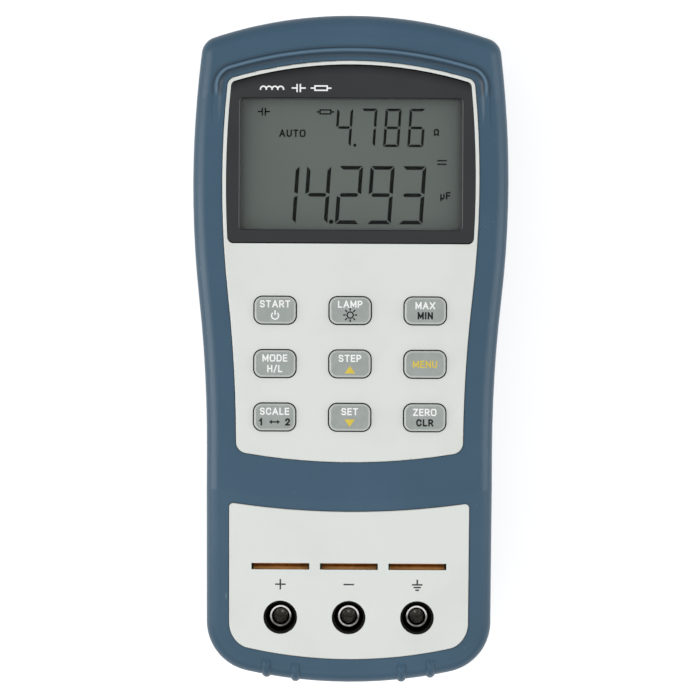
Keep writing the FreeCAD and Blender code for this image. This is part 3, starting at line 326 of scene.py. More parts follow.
def rounded_corners(low, high, radius, steps=6):
    """Points round a rectangle with rounded corners, anticlockwise."""
    middle = (low + high) / 2
    points = []
    corners = [(high.x, high.y), (low.x, high.y), (low.x, low.y), (high.x, low.y)]
    for turn, (x, y) in enumerate(corners):
        centre_x = x - math.copysign(radius, x - middle.x)
        centre_y = y - math.copysign(radius, y - middle.y)
        points += arc_points(centre_x, centre_y, radius, 90 * turn, 90 * turn + 90, steps)
    return points


def node_outline(node, height):
    """The outline of a CAD node's flat face at one height, in order round its middle."""
    low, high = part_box(node)
    middle = (low + high) / 2
    corners = [corner.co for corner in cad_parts[node].data.vertices]
    flat = {(round(corner.x, 6), round(corner.y, 6)) for corner in corners
            if abs(corner.z - height) < SAME_PLACE}
    return sorted(flat, key=lambda point: math.atan2(point[1] - middle.y, point[0] - middle.x))


def drawn_in(points, inset):
    """A convex outline drawn in by a small inset."""
    count = len(points)
    drawn = []
    for number, point in enumerate(points):
        along = (Vector(points[(number + 1) % count]) - Vector(points[number - 1])).normalized()
        drawn.append((point[0] - along.y * inset, point[1] + along.x * inset))
    return drawn


def ring(mesh, points, height):
    """A closed ring in a bmesh: its corners and its sides."""
    corners = [mesh.verts.new((x, y, height)) for x, y in points]
    sides = [mesh.edges.new((corner, corners[number - 1])) for number, corner in enumerate(corners)]
    return corners, sides


def wall(mesh, lower, upper):
    """Faces between two rings of the same count."""
    count = len(lower)
    for number in range(count):
        after = (number + 1) % count
        mesh.faces.new((lower[number], lower[after], upper[after], upper[number]))


def span(mesh, *rings):
    """Flat faces between an outer ring's sides and an inner one's."""
    bmesh.ops.triangle_fill(mesh, edges=[side for sides in rings for side in sides], use_beauty=True)


def piece(name, mesh, finish, body, slot, *replaced):
    """Turn a bmesh into a finished piece of the object."""
    bmesh.ops.recalc_face_normals(mesh, faces=mesh.faces)
    data = bpy.data.meshes.new(name)
    mesh.to_mesh(data)
    mesh.free()
    data.materials.append(finish)
    made = bpy.data.objects.new(name, data)
    bpy.context.scene.collection.objects.link(made)
    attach(made, body)
    if replaced:
        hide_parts(*replaced)
    return made


smoke_finish, shader = new_finish("window_smoked_print", WINDOW_SMOKE[0], roughness=0.16, specular=0.2)
smoke = mottle(smoke_finish, shader, WINDOW_SMOKE, scale=60.0)
# Painted shade: the print darkens toward the arched top edge of the window.
flat = level(smoke_finish, place_on(smoke_finish))
arch = less(smoke_finish, distance_from(smoke_finish, flat, BROW_CENTRE), WINDOW_ARCH)
smoke = mix_over(smoke_finish, shader, profile(smoke_finish, arch, WINDOW_SHADE), smoke, SMOKE_SHADE)
# Painted highlight and shade on the view's chamfer: its sides are painted lighter and its head-end side
# darker.
axes = axes_of(smoke_finish, add_node(smoke_finish, "NewGeometry").outputs["Normal"])
sideways = add_node(smoke_finish, "Math", [(0, axes["X"])], operation="ABSOLUTE").outputs["Value"]
slanting = fade(smoke_finish, axes["Z"], *CHAMFER_TURN)
for way, turn, colour in ((sideways, SIDE_TURN, SMOKE_EDGE_HIGHLIGHT), (axes["Y"], HEAD_TURN, SMOKE_SHADE)):
    share = times(smoke_finish, fade(smoke_finish, way, *turn), slanting)
    smoke = mix_over(smoke_finish, shader, share, smoke, colour)
grain(smoke_finish, shader, scale=900.0, height=0.0005 * MM, spread=0.03)
window_low, window_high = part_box("display_window")
lcd_low, lcd_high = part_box("lcd_glass")
view_low, view_high = shifted(lcd_low, lcd_high, LCD_BORDER)
rim = node_outline("display_window", window_high.z)
view = rounded_corners(view_low, view_high, VIEW_CORNER)
opening_corner = VIEW_CORNER - SKIRT_WIDTH
opening = rounded_corners(*shifted(view_low, view_high, SKIRT_WIDTH), opening_corner)
lip = rounded_corners(*shifted(view_low, view_high, SKIRT_WIDTH - VIEW_LIP), opening_corner + VIEW_LIP)
skirt_end = lcd_high.z + SKIRT_GAP
mesh = bmesh.new()
rim_top, rim_top_sides = ring(mesh, drawn_in(rim, WINDOW_EDGE), window_high.z)
rim_edge, _ = ring(mesh, rim, window_high.z - WINDOW_EDGE)
rim_low, rim_low_sides = ring(mesh, rim, window_low.z)
inner_top, inner_top_sides = ring(mesh, lip, window_high.z)
inner_edge, _ = ring(mesh, opening, window_high.z - VIEW_LIP)
inner_end, inner_end_sides = ring(mesh, opening, skirt_end)
outer_end, outer_end_sides = ring(mesh, view, skirt_end)
outer_low, outer_low_sides = ring(mesh, view, window_low.z)
wall(mesh, rim_edge, rim_top)
wall(mesh, rim_low, rim_edge)
wall(mesh, inner_end, inner_edge)
wall(mesh, inner_edge, inner_top)
wall(mesh, outer_end, outer_low)
span(mesh, rim_top_sides, inner_top_sides)
span(mesh, rim_low_sides, outer_low_sides)
span(mesh, inner_end_sides, outer_end_sides)
piece("window_border", mesh, smoke_finish, "housing", "window_pane", "display_window")

pane_finish, shader = new_finish("window_clear_acrylic", PANE_TINTS[0], roughness=0.1)
shader.inputs["Alpha"].default_value = PANE_COVER
mottle(pane_finish, shader, PANE_TINTS, scale=30.0)
grain(pane_finish, shader, scale=700.0, height=0.0005 * MM)
mesh = bmesh.new()
pane = rounded_corners(*shifted(view_low, view_high, SKIRT_WIDTH + PANE_GAP), opening_corner)
pane_low, _ = ring(mesh, pane, window_low.z)
pane_top, _ = ring(mesh, pane, window_high.z - VIEW_LIP)
wall(mesh, pane_low, pane_top)
mesh.faces.new(pane_top)
mesh.faces.new(pane_low[::-1])
piece("window_pane", mesh, pane_finish, "housing", "window_pane", "display_window")

# Display glass: a reflective liquid-crystal cell with grey-green polariser film.
# Its figures are thin slanted segments that turn near black; they show plain numbers and common units.
LCD_COLOURS = [(0.128, 0.155, 0.139), (0.142, 0.170, 0.153)]
LCD_SHADE = (0.058, 0.064, 0.062)
SIDE_SHADE = 2.3 * MM
TOP_SHADE = 3.2 * MM
FOOT_SHADE = 0.9 * MM
SEGMENT_COLOURS = [(0.001, 0.001, 0.001), (0.002, 0.002, 0.002)]
SEGMENT_RISE = 0.03 * MM
SINK = 0.005 * MM
SLANT = math.tan(math.radians(3.8))
MITRE_GAP = 0.22
SEGMENTS = {"1": "bc", "2": "abged", "3": "abgcd", "4": "fgbc",
            "6": "afgedc", "7": "abc", "8": "abcdefg", "9": "abfgcd"}
POINT_RISE = 0.1
POINT_SIZE = 0.6
UNIT_STROKE = 0.42 * MM
UNITS = [("AUTO", -16.4, 8.85, 2.1), (["ohm"], 23.8, 9.3, 1.9), (["micro", "F"], 26.4, -8.4, 2.1)]
UPPER_ROW = 14.85 * MM
EQUALS_ENDS = (24.3 * MM, 26.5 * MM)
EQUALS_ROWS = (0.4 * MM, 1.4 * MM)
STROKE_STEP = 0.006 * MM
MITRE_LEAST = 0.6
CURVE_STEPS = 6
LETTER_SPACE = 0.15

lcd_finish, shader = new_finish("display_polariser", LCD_COLOURS[0], roughness=0.4)
film = mottle(lcd_finish, shader, LCD_COLOURS, scale=26.0)
axes = axes_of(lcd_finish, place_on(lcd_finish))
shade = None
for axis, edge, inward, most in (("X", view_low.x, SIDE_SHADE, 0.9), ("X", view_high.x, -SIDE_SHADE, 1.0),
                                 ("Y", view_low.y, FOOT_SHADE, 0.25), ("Y", view_high.y, -TOP_SHADE, 0.4)):
    dim = fade(lcd_finish, axes[axis], edge + inward, edge, most, interpolation_type="SMOOTHSTEP")
    shade = larger(lcd_finish, shade, dim) if shade else dim
mix_over(lcd_finish, shader, shade, film, LCD_SHADE)
grain(lcd_finish, shader, scale=2600.0, height=0.002 * MM, spread=0.04)
clothe("lcd_glass", lcd_finish)
segment_finish, shader = new_finish("display_segments", SEGMENT_COLOURS[0], roughness=0.5, specular=0.0)
mottle(segment_finish, shader, SEGMENT_COLOURS, scale=300.0)


def flat_patch(mesh, points, base, rise):
    """A flat outline given a small rise, as a closed solid."""
    low, _ = ring(mesh, points, base)
    top, _ = ring(mesh, points, base + rise)
    mesh.faces.new(low[::-1])
    mesh.faces.new(top)
    wall(mesh, low, top)


def figure(mesh, name, left, bottom, width, tall, stroke, base):
    """One seven-segment figure: bars with mitred ends round two squares, and a pointed one between."""
    half = tall / 2
    edge = stroke / 2
    gap = stroke * MITRE_GAP
    end = width - gap
    across = [(gap - edge, edge), (gap + edge, -edge), (end - edge, -edge), (end + edge, edge)]
    upright = [(-edge, half + edge - gap), (-edge, gap), (edge, gap + edge), (edge, half - edge - gap)]
    middle = [(gap, 0), (gap + edge, edge), (end - edge, edge),
              (end, 0), (end - edge, -edge), (gap + edge, -edge)]
    bars = {"a": [(x, tall + y) for x, y in across], "d": [(x, -y) for x, y in across],
            "f": [(x, half + y) for x, y in upright], "b": [(width - x, half + y) for x, y in upright],
            "e": [(x, half - y) for x, y in upright], "c": [(width - x, half - y) for x, y in upright],
            "g": [(x, half + y) for x, y in middle]}
    for lit in SEGMENTS[name]:
        outline = [(left + x + SLANT * y, bottom + y) for x, y in bars[lit]]
        flat_patch(mesh, outline, base, SEGMENT_RISE)


def reading(mesh, figures, right, bottom, pitch, width, tall, stroke, base):
    """A row of figures that ends at right, with its decimal point."""
    names = figures.replace(".", "")
    left = right - width - (len(names) - 1) * pitch
    for number, name in enumerate(names):
        figure(mesh, name, left + number * pitch, bottom, width, tall, stroke, base)
    x = left + (figures.index(".") - 0.5) * pitch + width / 2
    point = arc_points(x, bottom + stroke * POINT_RISE, stroke * POINT_SIZE, 0, 342, steps=19)
    flat_patch(mesh, point, base, SEGMENT_RISE)


def ribbon(mesh, points, stroke, base, rise, closed=False):
    """A flat stroke of even width along points, with mitred corners, as a closed solid."""
    count = len(points)
    sides = []
    for number, here in enumerate(points):
        ways = []
        if closed or number > 0:
            ways.append((Vector(here) - Vector(points[number - 1])).normalized())
        if closed or number < count - 1:
            ways.append((Vector(points[(number + 1) % count]) - Vector(here)).normalized())
        along = sum(ways, Vector((0.0, 0.0))).normalized()
        across = Vector((-along.y, along.x)) * stroke / 2 / max(MITRE_LEAST, along.dot(ways[0]))
        sides.append((Vector(here) - across, Vector(here) + across))
    rows = [[mesh.verts.new((*pair[side], height)) for pair in sides]
            for side, height in ((0, base), (1, base), (1, base + rise), (0, base + rise))]
    for number in range(count if closed else count - 1):
        after = (number + 1) % count
        for row, following in zip(rows, rows[1:] + rows[:1]):
            mesh.faces.new((row[number], row[after], following[after], following[number]))
    if not closed:
        mesh.faces.new([row[0] for row in rows])
        mesh.faces.new([row[-1] for row in rows][::-1])


def strokes(mesh, lines, stroke, base, rise):
    """Flat strokes with square ends, each a trace higher than the last, so that none share a face."""
    for number, line in enumerate(lines):
        line = [Vector(point) for point in line]
        first, last = line[0] - line[1], line[-1] - line[-2]
        line[0] = line[0] + first.normalized() * stroke / 2
        line[-1] = line[-1] + last.normalized() * stroke / 2
        ribbon(mesh, line, stroke, base, rise + number * STROKE_STEP)


def capacitor_sign(mesh, x, y, gap, plate, lead, stroke, base, rise):
    """Two plates face to face, with a lead each."""
    for side in (-1, 1):
        near = x + side * gap / 2
        lines = [[(near, y - plate / 2), (near, y + plate / 2)], [(near, y), (near + side * lead, y)]]
        strokes(mesh, lines, stroke, base, rise)


def resistor_sign(mesh, x, y, width, tall, lead, stroke, base, rise):
    """A box with a lead at each end."""
    turns = ((-1, -1), (1, -1), (1, 1), (-1, 1))
    body = [(x + side * width / 2, y + end * tall / 2) for side, end in turns]
    ribbon(mesh, body, stroke, base, rise, closed=True)
    for side in (-1, 1):
        end = x + side * width / 2
        strokes(mesh, [[(end, y), (end + side * lead, y)]], stroke, base, rise + STROKE_STEP)


def softened(points, corner):
    """A line of points whose inner corners are rounded off, each over a length of corner."""
    line = [points[0]]
    for before, here, after in zip(points, points[1:], points[2:]):
        before, here, after = Vector(before), Vector(here), Vector(after)
        first = here + (before - here).normalized() * min(corner, (before - here).length / 2)
        last = here + (after - here).normalized() * min(corner, (after - here).length / 2)
        for step in range(CURVE_STEPS + 1):
            share = step / CURVE_STEPS
            rest = 1 - share
            line.append(tuple(first * rest ** 2 + here * 2 * share * rest + last * share ** 2))
    return line + [points[-1]]


# Capitals and signs as strokes on a height of one:
# a width, then lines of points, each with the rounding of its corners
GLYPHS = {
    "A": (0.78, [(0, [(0, 0), (0.39, 1), (0.78, 0)]), (0, [(0.13, 0.32), (0.65, 0.32)])]),
    "C": (0.68, [(0.45, [(0.68, 0.74), (0.62, 1), (0, 1), (0, 0), (0.62, 0), (0.68, 0.26)])]),
    "D": (0.66, [(0.45, [(0, 0), (0.66, 0), (0.66, 1), (0, 1)]), (0, [(0, 0), (0, 1)])]),
    "E": (0.54, [(0, [(0.54, 0), (0, 0), (0, 1), (0.54, 1)]), (0, [(0, 0.52), (0.5, 0.52)])]),
    "F": (0.52, [(0, [(0, 0), (0, 1), (0.52, 1)]), (0, [(0, 0.5), (0.46, 0.5)])]),
    "H": (0.66, [(0, [(0, 0), (0, 1)]), (0, [(0.66, 0), (0.66, 1)]), (0, [(0, 0.52), (0.66, 0.52)])]),
    "I": (0.0, [(0, [(0, 0), (0, 1)])]),
    "L": (0.5, [(0, [(0, 1), (0, 0), (0.5, 0)])]),
    "M": (0.82, [(0, [(0, 0), (0, 1), (0.41, 0.2), (0.82, 1), (0.82, 0)])]),
    "N": (0.66, [(0, [(0, 0), (0, 1), (0.66, 0), (0.66, 1)])]),
    "O": (0.76, [(0.5, [(0.38, 0), (0, 0), (0, 1), (0.38, 1)]),
                 (0.5, [(0.38, 1), (0.76, 1), (0.76, 0), (0.38, 0)])]),
    "P": (0.6, [(0, [(0, 0), (0, 1)]), (0.3, [(0, 1), (0.6, 1), (0.6, 0.44), (0, 0.44)])]),
    "R": (0.62, [(0, [(0, 0), (0, 1)]), (0.3, [(0, 1), (0.6, 1), (0.6, 0.46), (0, 0.46)]),
                 (0, [(0.32, 0.46), (0.64, 0)])]),
    "S": (0.6, [(0.3, [(0.58, 0.85), (0.48, 1), (0, 1), (0, 0.52), (0.6, 0.5), (0.6, 0), (0.1, 0),
                       (0, 0.15)])]),
    "T": (0.64, [(0, [(0, 1), (0.64, 1)]), (0, [(0.32, 1), (0.32, 0)])]),
    "U": (0.66, [(0.42, [(0, 1), (0, 0), (0.66, 0), (0.66, 1)])]),
    "X": (0.72, [(0, [(0, 0), (0.72, 1)]), (0, [(0, 1), (0.72, 0)])]),
    "Z": (0.62, [(0, [(0, 1), (0.62, 1), (0, 0), (0.62, 0)])]),
    "1": (0.26, [(0, [(0, 0.74), (0.26, 1), (0.26, 0)])]),
    "2": (0.56, [(0.36, [(0, 0.74), (0.02, 1), (0.56, 1), (0.56, 0.56), (0, 0)]),
                 (0, [(0, 0), (0.56, 0)])]),
    "/": (0.36, [(0, [(0, -0.06), (0.36, 1.06)])]),
    "micro": (0.5, [(0, [(0, -0.3), (0, 0.66)]), (0.3, [(0, 0.2), (0, 0), (0.5, 0), (0.5, 0.66)])]),
    "ohm": (0.8, [(0.4, [(0, 0), (0.24, 0), (0.24, 0.12), (0.02, 0.4), (0.02, 1), (0.78, 1), (0.78, 0.4),
                         (0.56, 0.12), (0.56, 0), (0.8, 0)])]),
    " ": (0.5, []),
}


def lettering(mesh, names, x, y, tall, stroke, base, rise):
    """A row of capitals or signs, centred on a place."""
    scale = tall - stroke
    space = stroke + LETTER_SPACE * tall
    widths = [GLYPHS[name][0] * scale for name in names]
    left = x - (sum(widths) + space * (len(names) - 1)) / 2
    for name, width in zip(names, widths):
        lines = []
        for corner, line in GLYPHS[name][1]:
            line = [(left + across * scale, y + (up - 0.5) * scale) for across, up in line]
            lines += [softened(line, corner * scale)] if corner else list(zip(line, line[1:]))
        strokes(mesh, lines, stroke, base, rise)
        left += width + space


lcd_middle = (lcd_low + lcd_high) / 2
lcd_face = lcd_high.z - SINK
at_x, at_y = lcd_middle.x, lcd_middle.y
mesh = bmesh.new()
reading(mesh, "4.786", right=at_x + 19.8 * MM, bottom=at_y + 5.5 * MM, pitch=6.75 * MM,
        width=3.75 * MM, tall=10.0 * MM, stroke=0.74 * MM, base=lcd_face)
reading(mesh, "14.293", right=at_x + 19.55 * MM, bottom=at_y - 15.9 * MM, pitch=8.85 * MM,
        width=5.75 * MM, tall=15.2 * MM, stroke=1.05 * MM, base=lcd_face)
for names, x, y, tall in UNITS:
    lettering(mesh, names, at_x + x * MM, at_y + y * MM, tall * MM, UNIT_STROKE, lcd_face, SEGMENT_RISE)
capacitor_sign(mesh, at_x - 24.4 * MM, at_y + UPPER_ROW, gap=0.85 * MM, plate=1.8 * MM, lead=1.1 * MM,
               stroke=UNIT_STROKE, base=lcd_face, rise=SEGMENT_RISE)
resistor_sign(mesh, at_x - 7.2 * MM, at_y + UPPER_ROW, width=3.0 * MM, tall=1.1 * MM, lead=0.8 * MM,
              stroke=UNIT_STROKE, base=lcd_face, rise=SEGMENT_RISE)
for row in EQUALS_ROWS:
    bar = [(at_x + end, at_y + row) for end in EQUALS_ENDS]
    strokes(mesh, [bar], UNIT_STROKE, lcd_face, SEGMENT_RISE)
piece("display_figures", mesh, segment_finish, "housing", "silicone_dark")

# Window print: small white circuit signs for a coil, a capacitor and a resistor above the view.
# They are screen printed on the pane in one pass of dry white ink.
PRINT_RISE = 0.02 * MM
PRINT_WHITE = [(0.84, 0.86, 0.86), (0.90, 0.91, 0.91)]
SIGN_STROKE = 0.4 * MM
SIGN_DROP = 2.45 * MM
COIL_LEFT = -24.4 * MM
COIL_PITCH = 1.6 * MM
COIL_DROP = 0.35 * MM
COIL_LOOPS = 4


def ink(name, colours, specular=0.5):
    """A dry print ink."""
    finish, shader = new_finish(name, colours[0], roughness=0.5, specular=specular)
    mottle(finish, shader, colours, scale=900.0)
    grain(finish, shader, scale=8000.0, height=0.003 * MM)
    return finish


print_finish = ink("print_white", PRINT_WHITE)
mesh = bmesh.new()
sign_y = view_high.y + SIGN_DROP
sign_base = window_high.z - SINK
coil = [arc_points(COIL_LEFT + loop * COIL_PITCH, sign_y - COIL_DROP, COIL_PITCH / 2, 180, 0, steps=12)
        for loop in range(COIL_LOOPS)]
strokes(mesh, coil, SIGN_STROKE, sign_base, PRINT_RISE)
capacitor_sign(mesh, -14.6 * MM, sign_y, gap=0.9 * MM, plate=1.9 * MM, lead=1.3 * MM,
               stroke=SIGN_STROKE, base=sign_base, rise=PRINT_RISE)
resistor_sign(mesh, -8.4 * MM, sign_y, width=3.4 * MM, tall=1.2 * MM, lead=1.0 * MM,
              stroke=SIGN_STROKE, base=sign_base, rise=PRINT_RISE)
piece("window_signs", mesh, print_finish, "housing", "case_offwhite")

# Keys: nine grey caps that stand a little proud of the panel, each in a close-fitting hole.
# They are moulded, and their crowns are screen printed in white, near black and amber.
KEY_COLOURS = [(0.295, 0.324, 0.308), (0.325, 0.355, 0.338)]
KEY_EDGE_HIGHLIGHT = (0.52, 0.55, 0.53)
LEGEND_DARK = [(0.008, 0.010, 0.011), (0.014, 0.016, 0.017)]
LEGEND_AMBER = [(0.66, 0.50, 0.060), (0.72, 0.57, 0.10)]
LEGEND_TALL = 2.0 * MM
LEGEND_STROKE = 0.37 * MM
DARK_STROKE = 0.45 * MM
LEGEND_RISE = 0.025 * MM
CROWN_TURN = (0.97, 0.8)
KEY_SUNK = 1.1 * MM
SUNK_BLEND = 0.2 * MM
POWER_RADIUS = 0.98 * MM
POWER_BAR = (0.2 * MM, 1.45 * MM)
SUN_RADIUS = 0.85 * MM
SUN_RAY = (1.2 * MM, 1.95 * MM)
SWAP_HALF = 1.0 * MM
SWAP_HEAD = (0.75 * MM, 1.5 * MM)
SWAP_HEAD_HALF = 0.62 * MM
ARROW_HALF = (1.5 * MM, 1.05 * MM)

key_finish, shader = new_finish("key_grey", KEY_COLOURS[0], roughness=0.45)
skin = mottle(key_finish, shader, KEY_COLOURS, scale=420.0)
# Painted highlight: the rounded edges of each crown are painted lighter.
skin = mix_over(key_finish, shader, turned_aside(key_finish, *CROWN_TURN), skin, KEY_EDGE_HIGHLIGHT)
# Painted shade: each cap's side walls, and all of it below a level a little under its crown, are painted near
# black as the shade in the gap round the key.
skin = mix_over(key_finish, shader, turned_aside(key_finish, *WALL_TURN), skin, GAP_SHADE)
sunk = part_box("key_power")[1].z - KEY_SUNK
below = fade(key_finish, axes_of(key_finish, place_on(key_finish))["Z"], sunk, sunk - SUNK_BLEND)
mix_over(key_finish, shader, below, skin, GAP_SHADE)
grain(key_finish, shader, scale=5000.0, height=0.008 * MM, spread=0.05)
dark_finish = ink("print_dark", LEGEND_DARK, specular=0.15)
amber_finish = ink("print_amber", LEGEND_AMBER, specular=0.15)
legend_finishes = {"white": (print_finish, "case_offwhite", LEGEND_STROKE),
                   "dark": (dark_finish, "silicone_dark", DARK_STROKE),
                   "amber": (amber_finish, "silicone_pale", LEGEND_STROKE)}


def power_sign(mesh, x, y, base):
    """A ring that is open at the top, with a bar in the opening."""
    ribbon(mesh, arc_points(x, y, POWER_RADIUS, 130, 410), LEGEND_STROKE, base, LEGEND_RISE)
    ribbon(mesh, [(x, y + end) for end in POWER_BAR], LEGEND_STROKE, base, LEGEND_RISE)


def sun_sign(mesh, x, y, base):
    """A ring with eight rays."""
    disc = arc_points(x, y, SUN_RADIUS, 0, 345, steps=23)
    ribbon(mesh, disc, LEGEND_STROKE, base, LEGEND_RISE, closed=True)
    for turn in range(0, 360, 45):
        ray = [arc_points(x, y, reach, turn, turn, steps=1)[0] for reach in SUN_RAY]
        ribbon(mesh, ray, LEGEND_STROKE, base, LEGEND_RISE)


def swap_sign(mesh, x, y, base):
    """An arrow with a head at each end."""
    ribbon(mesh, [(x - SWAP_HALF, y), (x + SWAP_HALF, y)], LEGEND_STROKE, base, LEGEND_RISE)
    for side in (-1, 1):
        root, tip = (x + side * reach for reach in SWAP_HEAD)
        head = [(root, y - SWAP_HEAD_HALF), (tip, y), (root, y + SWAP_HEAD_HALF)]
        flat_patch(mesh, head, base, LEGEND_RISE + STROKE_STEP)


def up_sign(mesh, x, y, base, way=1):
    """A solid triangle that points up, or down where way is minus one."""
    wide, tall = ARROW_HALF
    foot = y - way * tall
    flat_patch(mesh, [(x - wide, foot), (x + wide, foot), (x, y + way * tall)], base, LEGEND_RISE)


def down_sign(mesh, x, y, base):
    """A solid triangle that points down."""
    up_sign(mesh, x, y, base, way=-1)


LEGENDS = {"key_power": [("white", "START", 1.75), ("white", power_sign, -1.5)],
           "key_light": [("white", "LAMP", 1.75), ("dark", sun_sign, -1.25)],
           "key_hold": [("white", "MAX", 1.45), ("dark", "MIN", -1.35)],
           "key_mode": [("white", "MODE", 1.55), ("white", "H/L", -1.4)],
           "key_up": [("white", "STEP", 1.55), ("amber", up_sign, -1.6)],
           "key_menu": [("amber", "MENU", 0.0)],
           "key_range": [("white", "SCALE", 1.6), ("dark", "1    2", -1.35), ("dark", swap_sign, -1.35)],
           "key_down": [("white", "SET", 1.6), ("amber", down_sign, -1.6)],
           "key_zero": [("white", "ZERO", 1.5), ("dark", "CLR", -1.4)]}
for key, rows in LEGENDS.items():
    clothe(key, key_finish)
    low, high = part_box(key)
    middle = (low + high) / 2
    crown = high.z - SINK
    for number, (colour, sign, up) in enumerate(rows):
        finish, slot, stroke = legend_finishes[colour]
        mesh = bmesh.new()
        if callable(sign):
            sign(mesh, middle.x, middle.y + up * MM, crown)
        else:
            lettering(mesh, sign, middle.x, middle.y + up * MM, LEGEND_TALL, stroke, crown, LEGEND_RISE)
        piece("legend_%s_%d" % (key[4:], number), mesh, finish, key, slot)

# Component slots: pairs of copper alloy leaf springs under the three slots grip a part's leads.
# They are stamped, bent and soldered to the board.
COPPER = [(0.56, 0.27, 0.065), (0.70, 0.37, 0.105), (0.78, 0.46, 0.16)]
COPPER_SHADE = (0.10, 0.020, 0.001)
COPPER_HIGHLIGHT = (0.95, 0.74, 0.46)
LEAF_SHADE = [(-0.1, 0.0), (0.15, 0.55), (0.4, 0.55), (0.6, 0.1)]
LEAF_HIGHLIGHT = [(-0.5, 1.0), (-0.25, 0.0)]

copper_finish, shader = new_finish("contact_copper_alloy", COPPER[1], roughness=0.4, metallic=0.9)
copper = mottle(copper_finish, shader, COPPER, scale=500.0)
low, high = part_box("slot_contacts")
# Painted shade and highlight: the leaves are painted darker a little toward the head end of each slot and
# lighter toward its foot.
across = less(copper_finish, axes_of(copper_finish, place_on(copper_finish))["Y"], (low.y + high.y) / 2)
for stops, colour in ((LEAF_SHADE, COPPER_SHADE), (LEAF_HIGHLIGHT, COPPER_HIGHLIGHT)):
    copper = mix_over(copper_finish, shader, profile(copper_finish, across, stops), copper, colour)
grain(copper_finish, shader, scale=2500.0, height=0.004 * MM, spread=0.08)
clothe("slot_contacts", copper_finish)

# Sockets: black insulating cups set in the lower panel round turned sleeves with bright nickel plating.
# Each takes a 4 mm plug, and the cups are moulded. The sleeves' bores are painted darker with depth below the
# rim as shade, with a painted lighter ring near the foot of the lead-in.
CUP_BLACK = [(0.0055, 0.0055, 0.005), (0.009, 0.009, 0.008)]
NICKEL = [(0.09, 0.088, 0.085), (0.26, 0.255, 0.25), (0.46, 0.45, 0.43)]
NICKEL_HIGHLIGHT = (0.95, 0.94, 0.92)
RING_HIGHLIGHT = [(-0.6, 0.0), (0.1, 0.15), (0.8, 0.6)]
BORE_SHADE = (0.060, 0.054, 0.050)
BORE_SHADE_PROFILE = [(-1.6, 1.0), (-1.3, 0.45), (-1.05, 0.9), (-0.25, 0.45), (-0.05, 0.0), (0.0, 0.0)]
BORE_FLOOR_LIGHT = (0.105, 0.098, 0.086)
FLOOR_DEPTH = [(-19.8, 1.0), (-19.6, 0.0)]
FLOOR_GLINT_COLOUR = (0.46, 0.45, 0.41)
FLOOR_GLINT_OFFSET = (0.0, -0.75 * MM, 0.0)
FLOOR_GLINT_SIZE = [(0.1, 1.0), (0.5, 0.0), (1.25, 0.0), (1.5, 0.35), (1.75, 0.0)]

cup_finish, shader = new_finish("jack_black_nylon", CUP_BLACK[0], roughness=0.6, specular=0.06)
mottle(cup_finish, shader, CUP_BLACK, scale=700.0)
grain(cup_finish, shader, scale=4200.0, height=0.006 * MM, spread=0.06)
nickel_finish, shader = new_finish("sleeve_nickel", NICKEL[0], roughness=0.24, metallic=1.0)
plating = mottle(nickel_finish, shader, NICKEL, scale=260.0, detail=2.0, contrast=(0.40, 0.62))
grain(nickel_finish, shader, scale=3000.0, height=0.002 * MM, spread=0.06)
axes = axes_of(nickel_finish, place_on(nickel_finish))
low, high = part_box("jack_sleeve_plus")
forward = less(nickel_finish, axes["Y"], (low.y + high.y) / 2)
depth = less(nickel_finish, axes["Z"], high.z)
# Painted highlight, shade and reflection: the rims are lighter toward the head end, the bores darker with
# depth, and the bore floors lighter.
for distance, stops, colour in ((forward, RING_HIGHLIGHT, NICKEL_HIGHLIGHT), (depth, BORE_SHADE_PROFILE, BORE_SHADE),
                                (depth, FLOOR_DEPTH, BORE_FLOOR_LIGHT)):
    plating = mix_over(nickel_finish, shader, profile(nickel_finish, distance, stops), plating, colour)
# Painted glint: a small light spot with a faint ring round it on each bore's floor, a little off the axis
# toward the foot.
half_pitch = abs(low.x + high.x) / 4
aside = add_node(nickel_finish, "Math", [(0, axes["X"])], operation="WRAP")
aside.inputs[1].default_value = half_pitch
aside.inputs[2].default_value = -half_pitch
spot = add_node(nickel_finish, "CombineXYZ", [("X", aside.outputs["Value"]), ("Y", forward)])
off = distance_from(nickel_finish, spot.outputs["Vector"], FLOOR_GLINT_OFFSET)
bottom = profile(nickel_finish, depth, FLOOR_DEPTH)
floor_glint = times(nickel_finish, profile(nickel_finish, off, FLOOR_GLINT_SIZE), bottom)
mix_over(nickel_finish, shader, floor_glint, plating, FLOOR_GLINT_COLOUR)
for pole in ("plus", "minus", "guard"):
    clothe("jack_body_" + pole, cup_finish)
    clothe("jack_sleeve_" + pole, nickel_finish)

# Socket marks: a plus, a minus and an earth sign printed in black between the slots and the sockets.
# The lower panel falls away toward the foot, so the print follows its slope.
FACE = 39.8 * MM
PANEL_PROUD = 0.4 * MM
CREASE_Y = -41.9 * MM
CREASE_RADIUS = 212.0 * MM
FACE_SLOPE = math.tan(math.radians(6.3))
MARK_RISE = 9.3 * MM
MARK_STROKE = 0.42 * MM
MARK_REACH = 1.25 * MM
MARK_BLACK = [(0.010, 0.010, 0.011), (0.018, 0.018, 0.020)]
EARTH_BARS = [(0.8 * MM, 0.75 * MM), (0.3 * MM, 1.5 * MM)]


def panel_height(x, y):
    """Height of the sloping lower panel's surface."""
    away = max(0.0, math.hypot(x, y - CREASE_Y - CREASE_RADIUS) - CREASE_RADIUS)
    return FACE + PANEL_PROUD - away * FACE_SLOPE


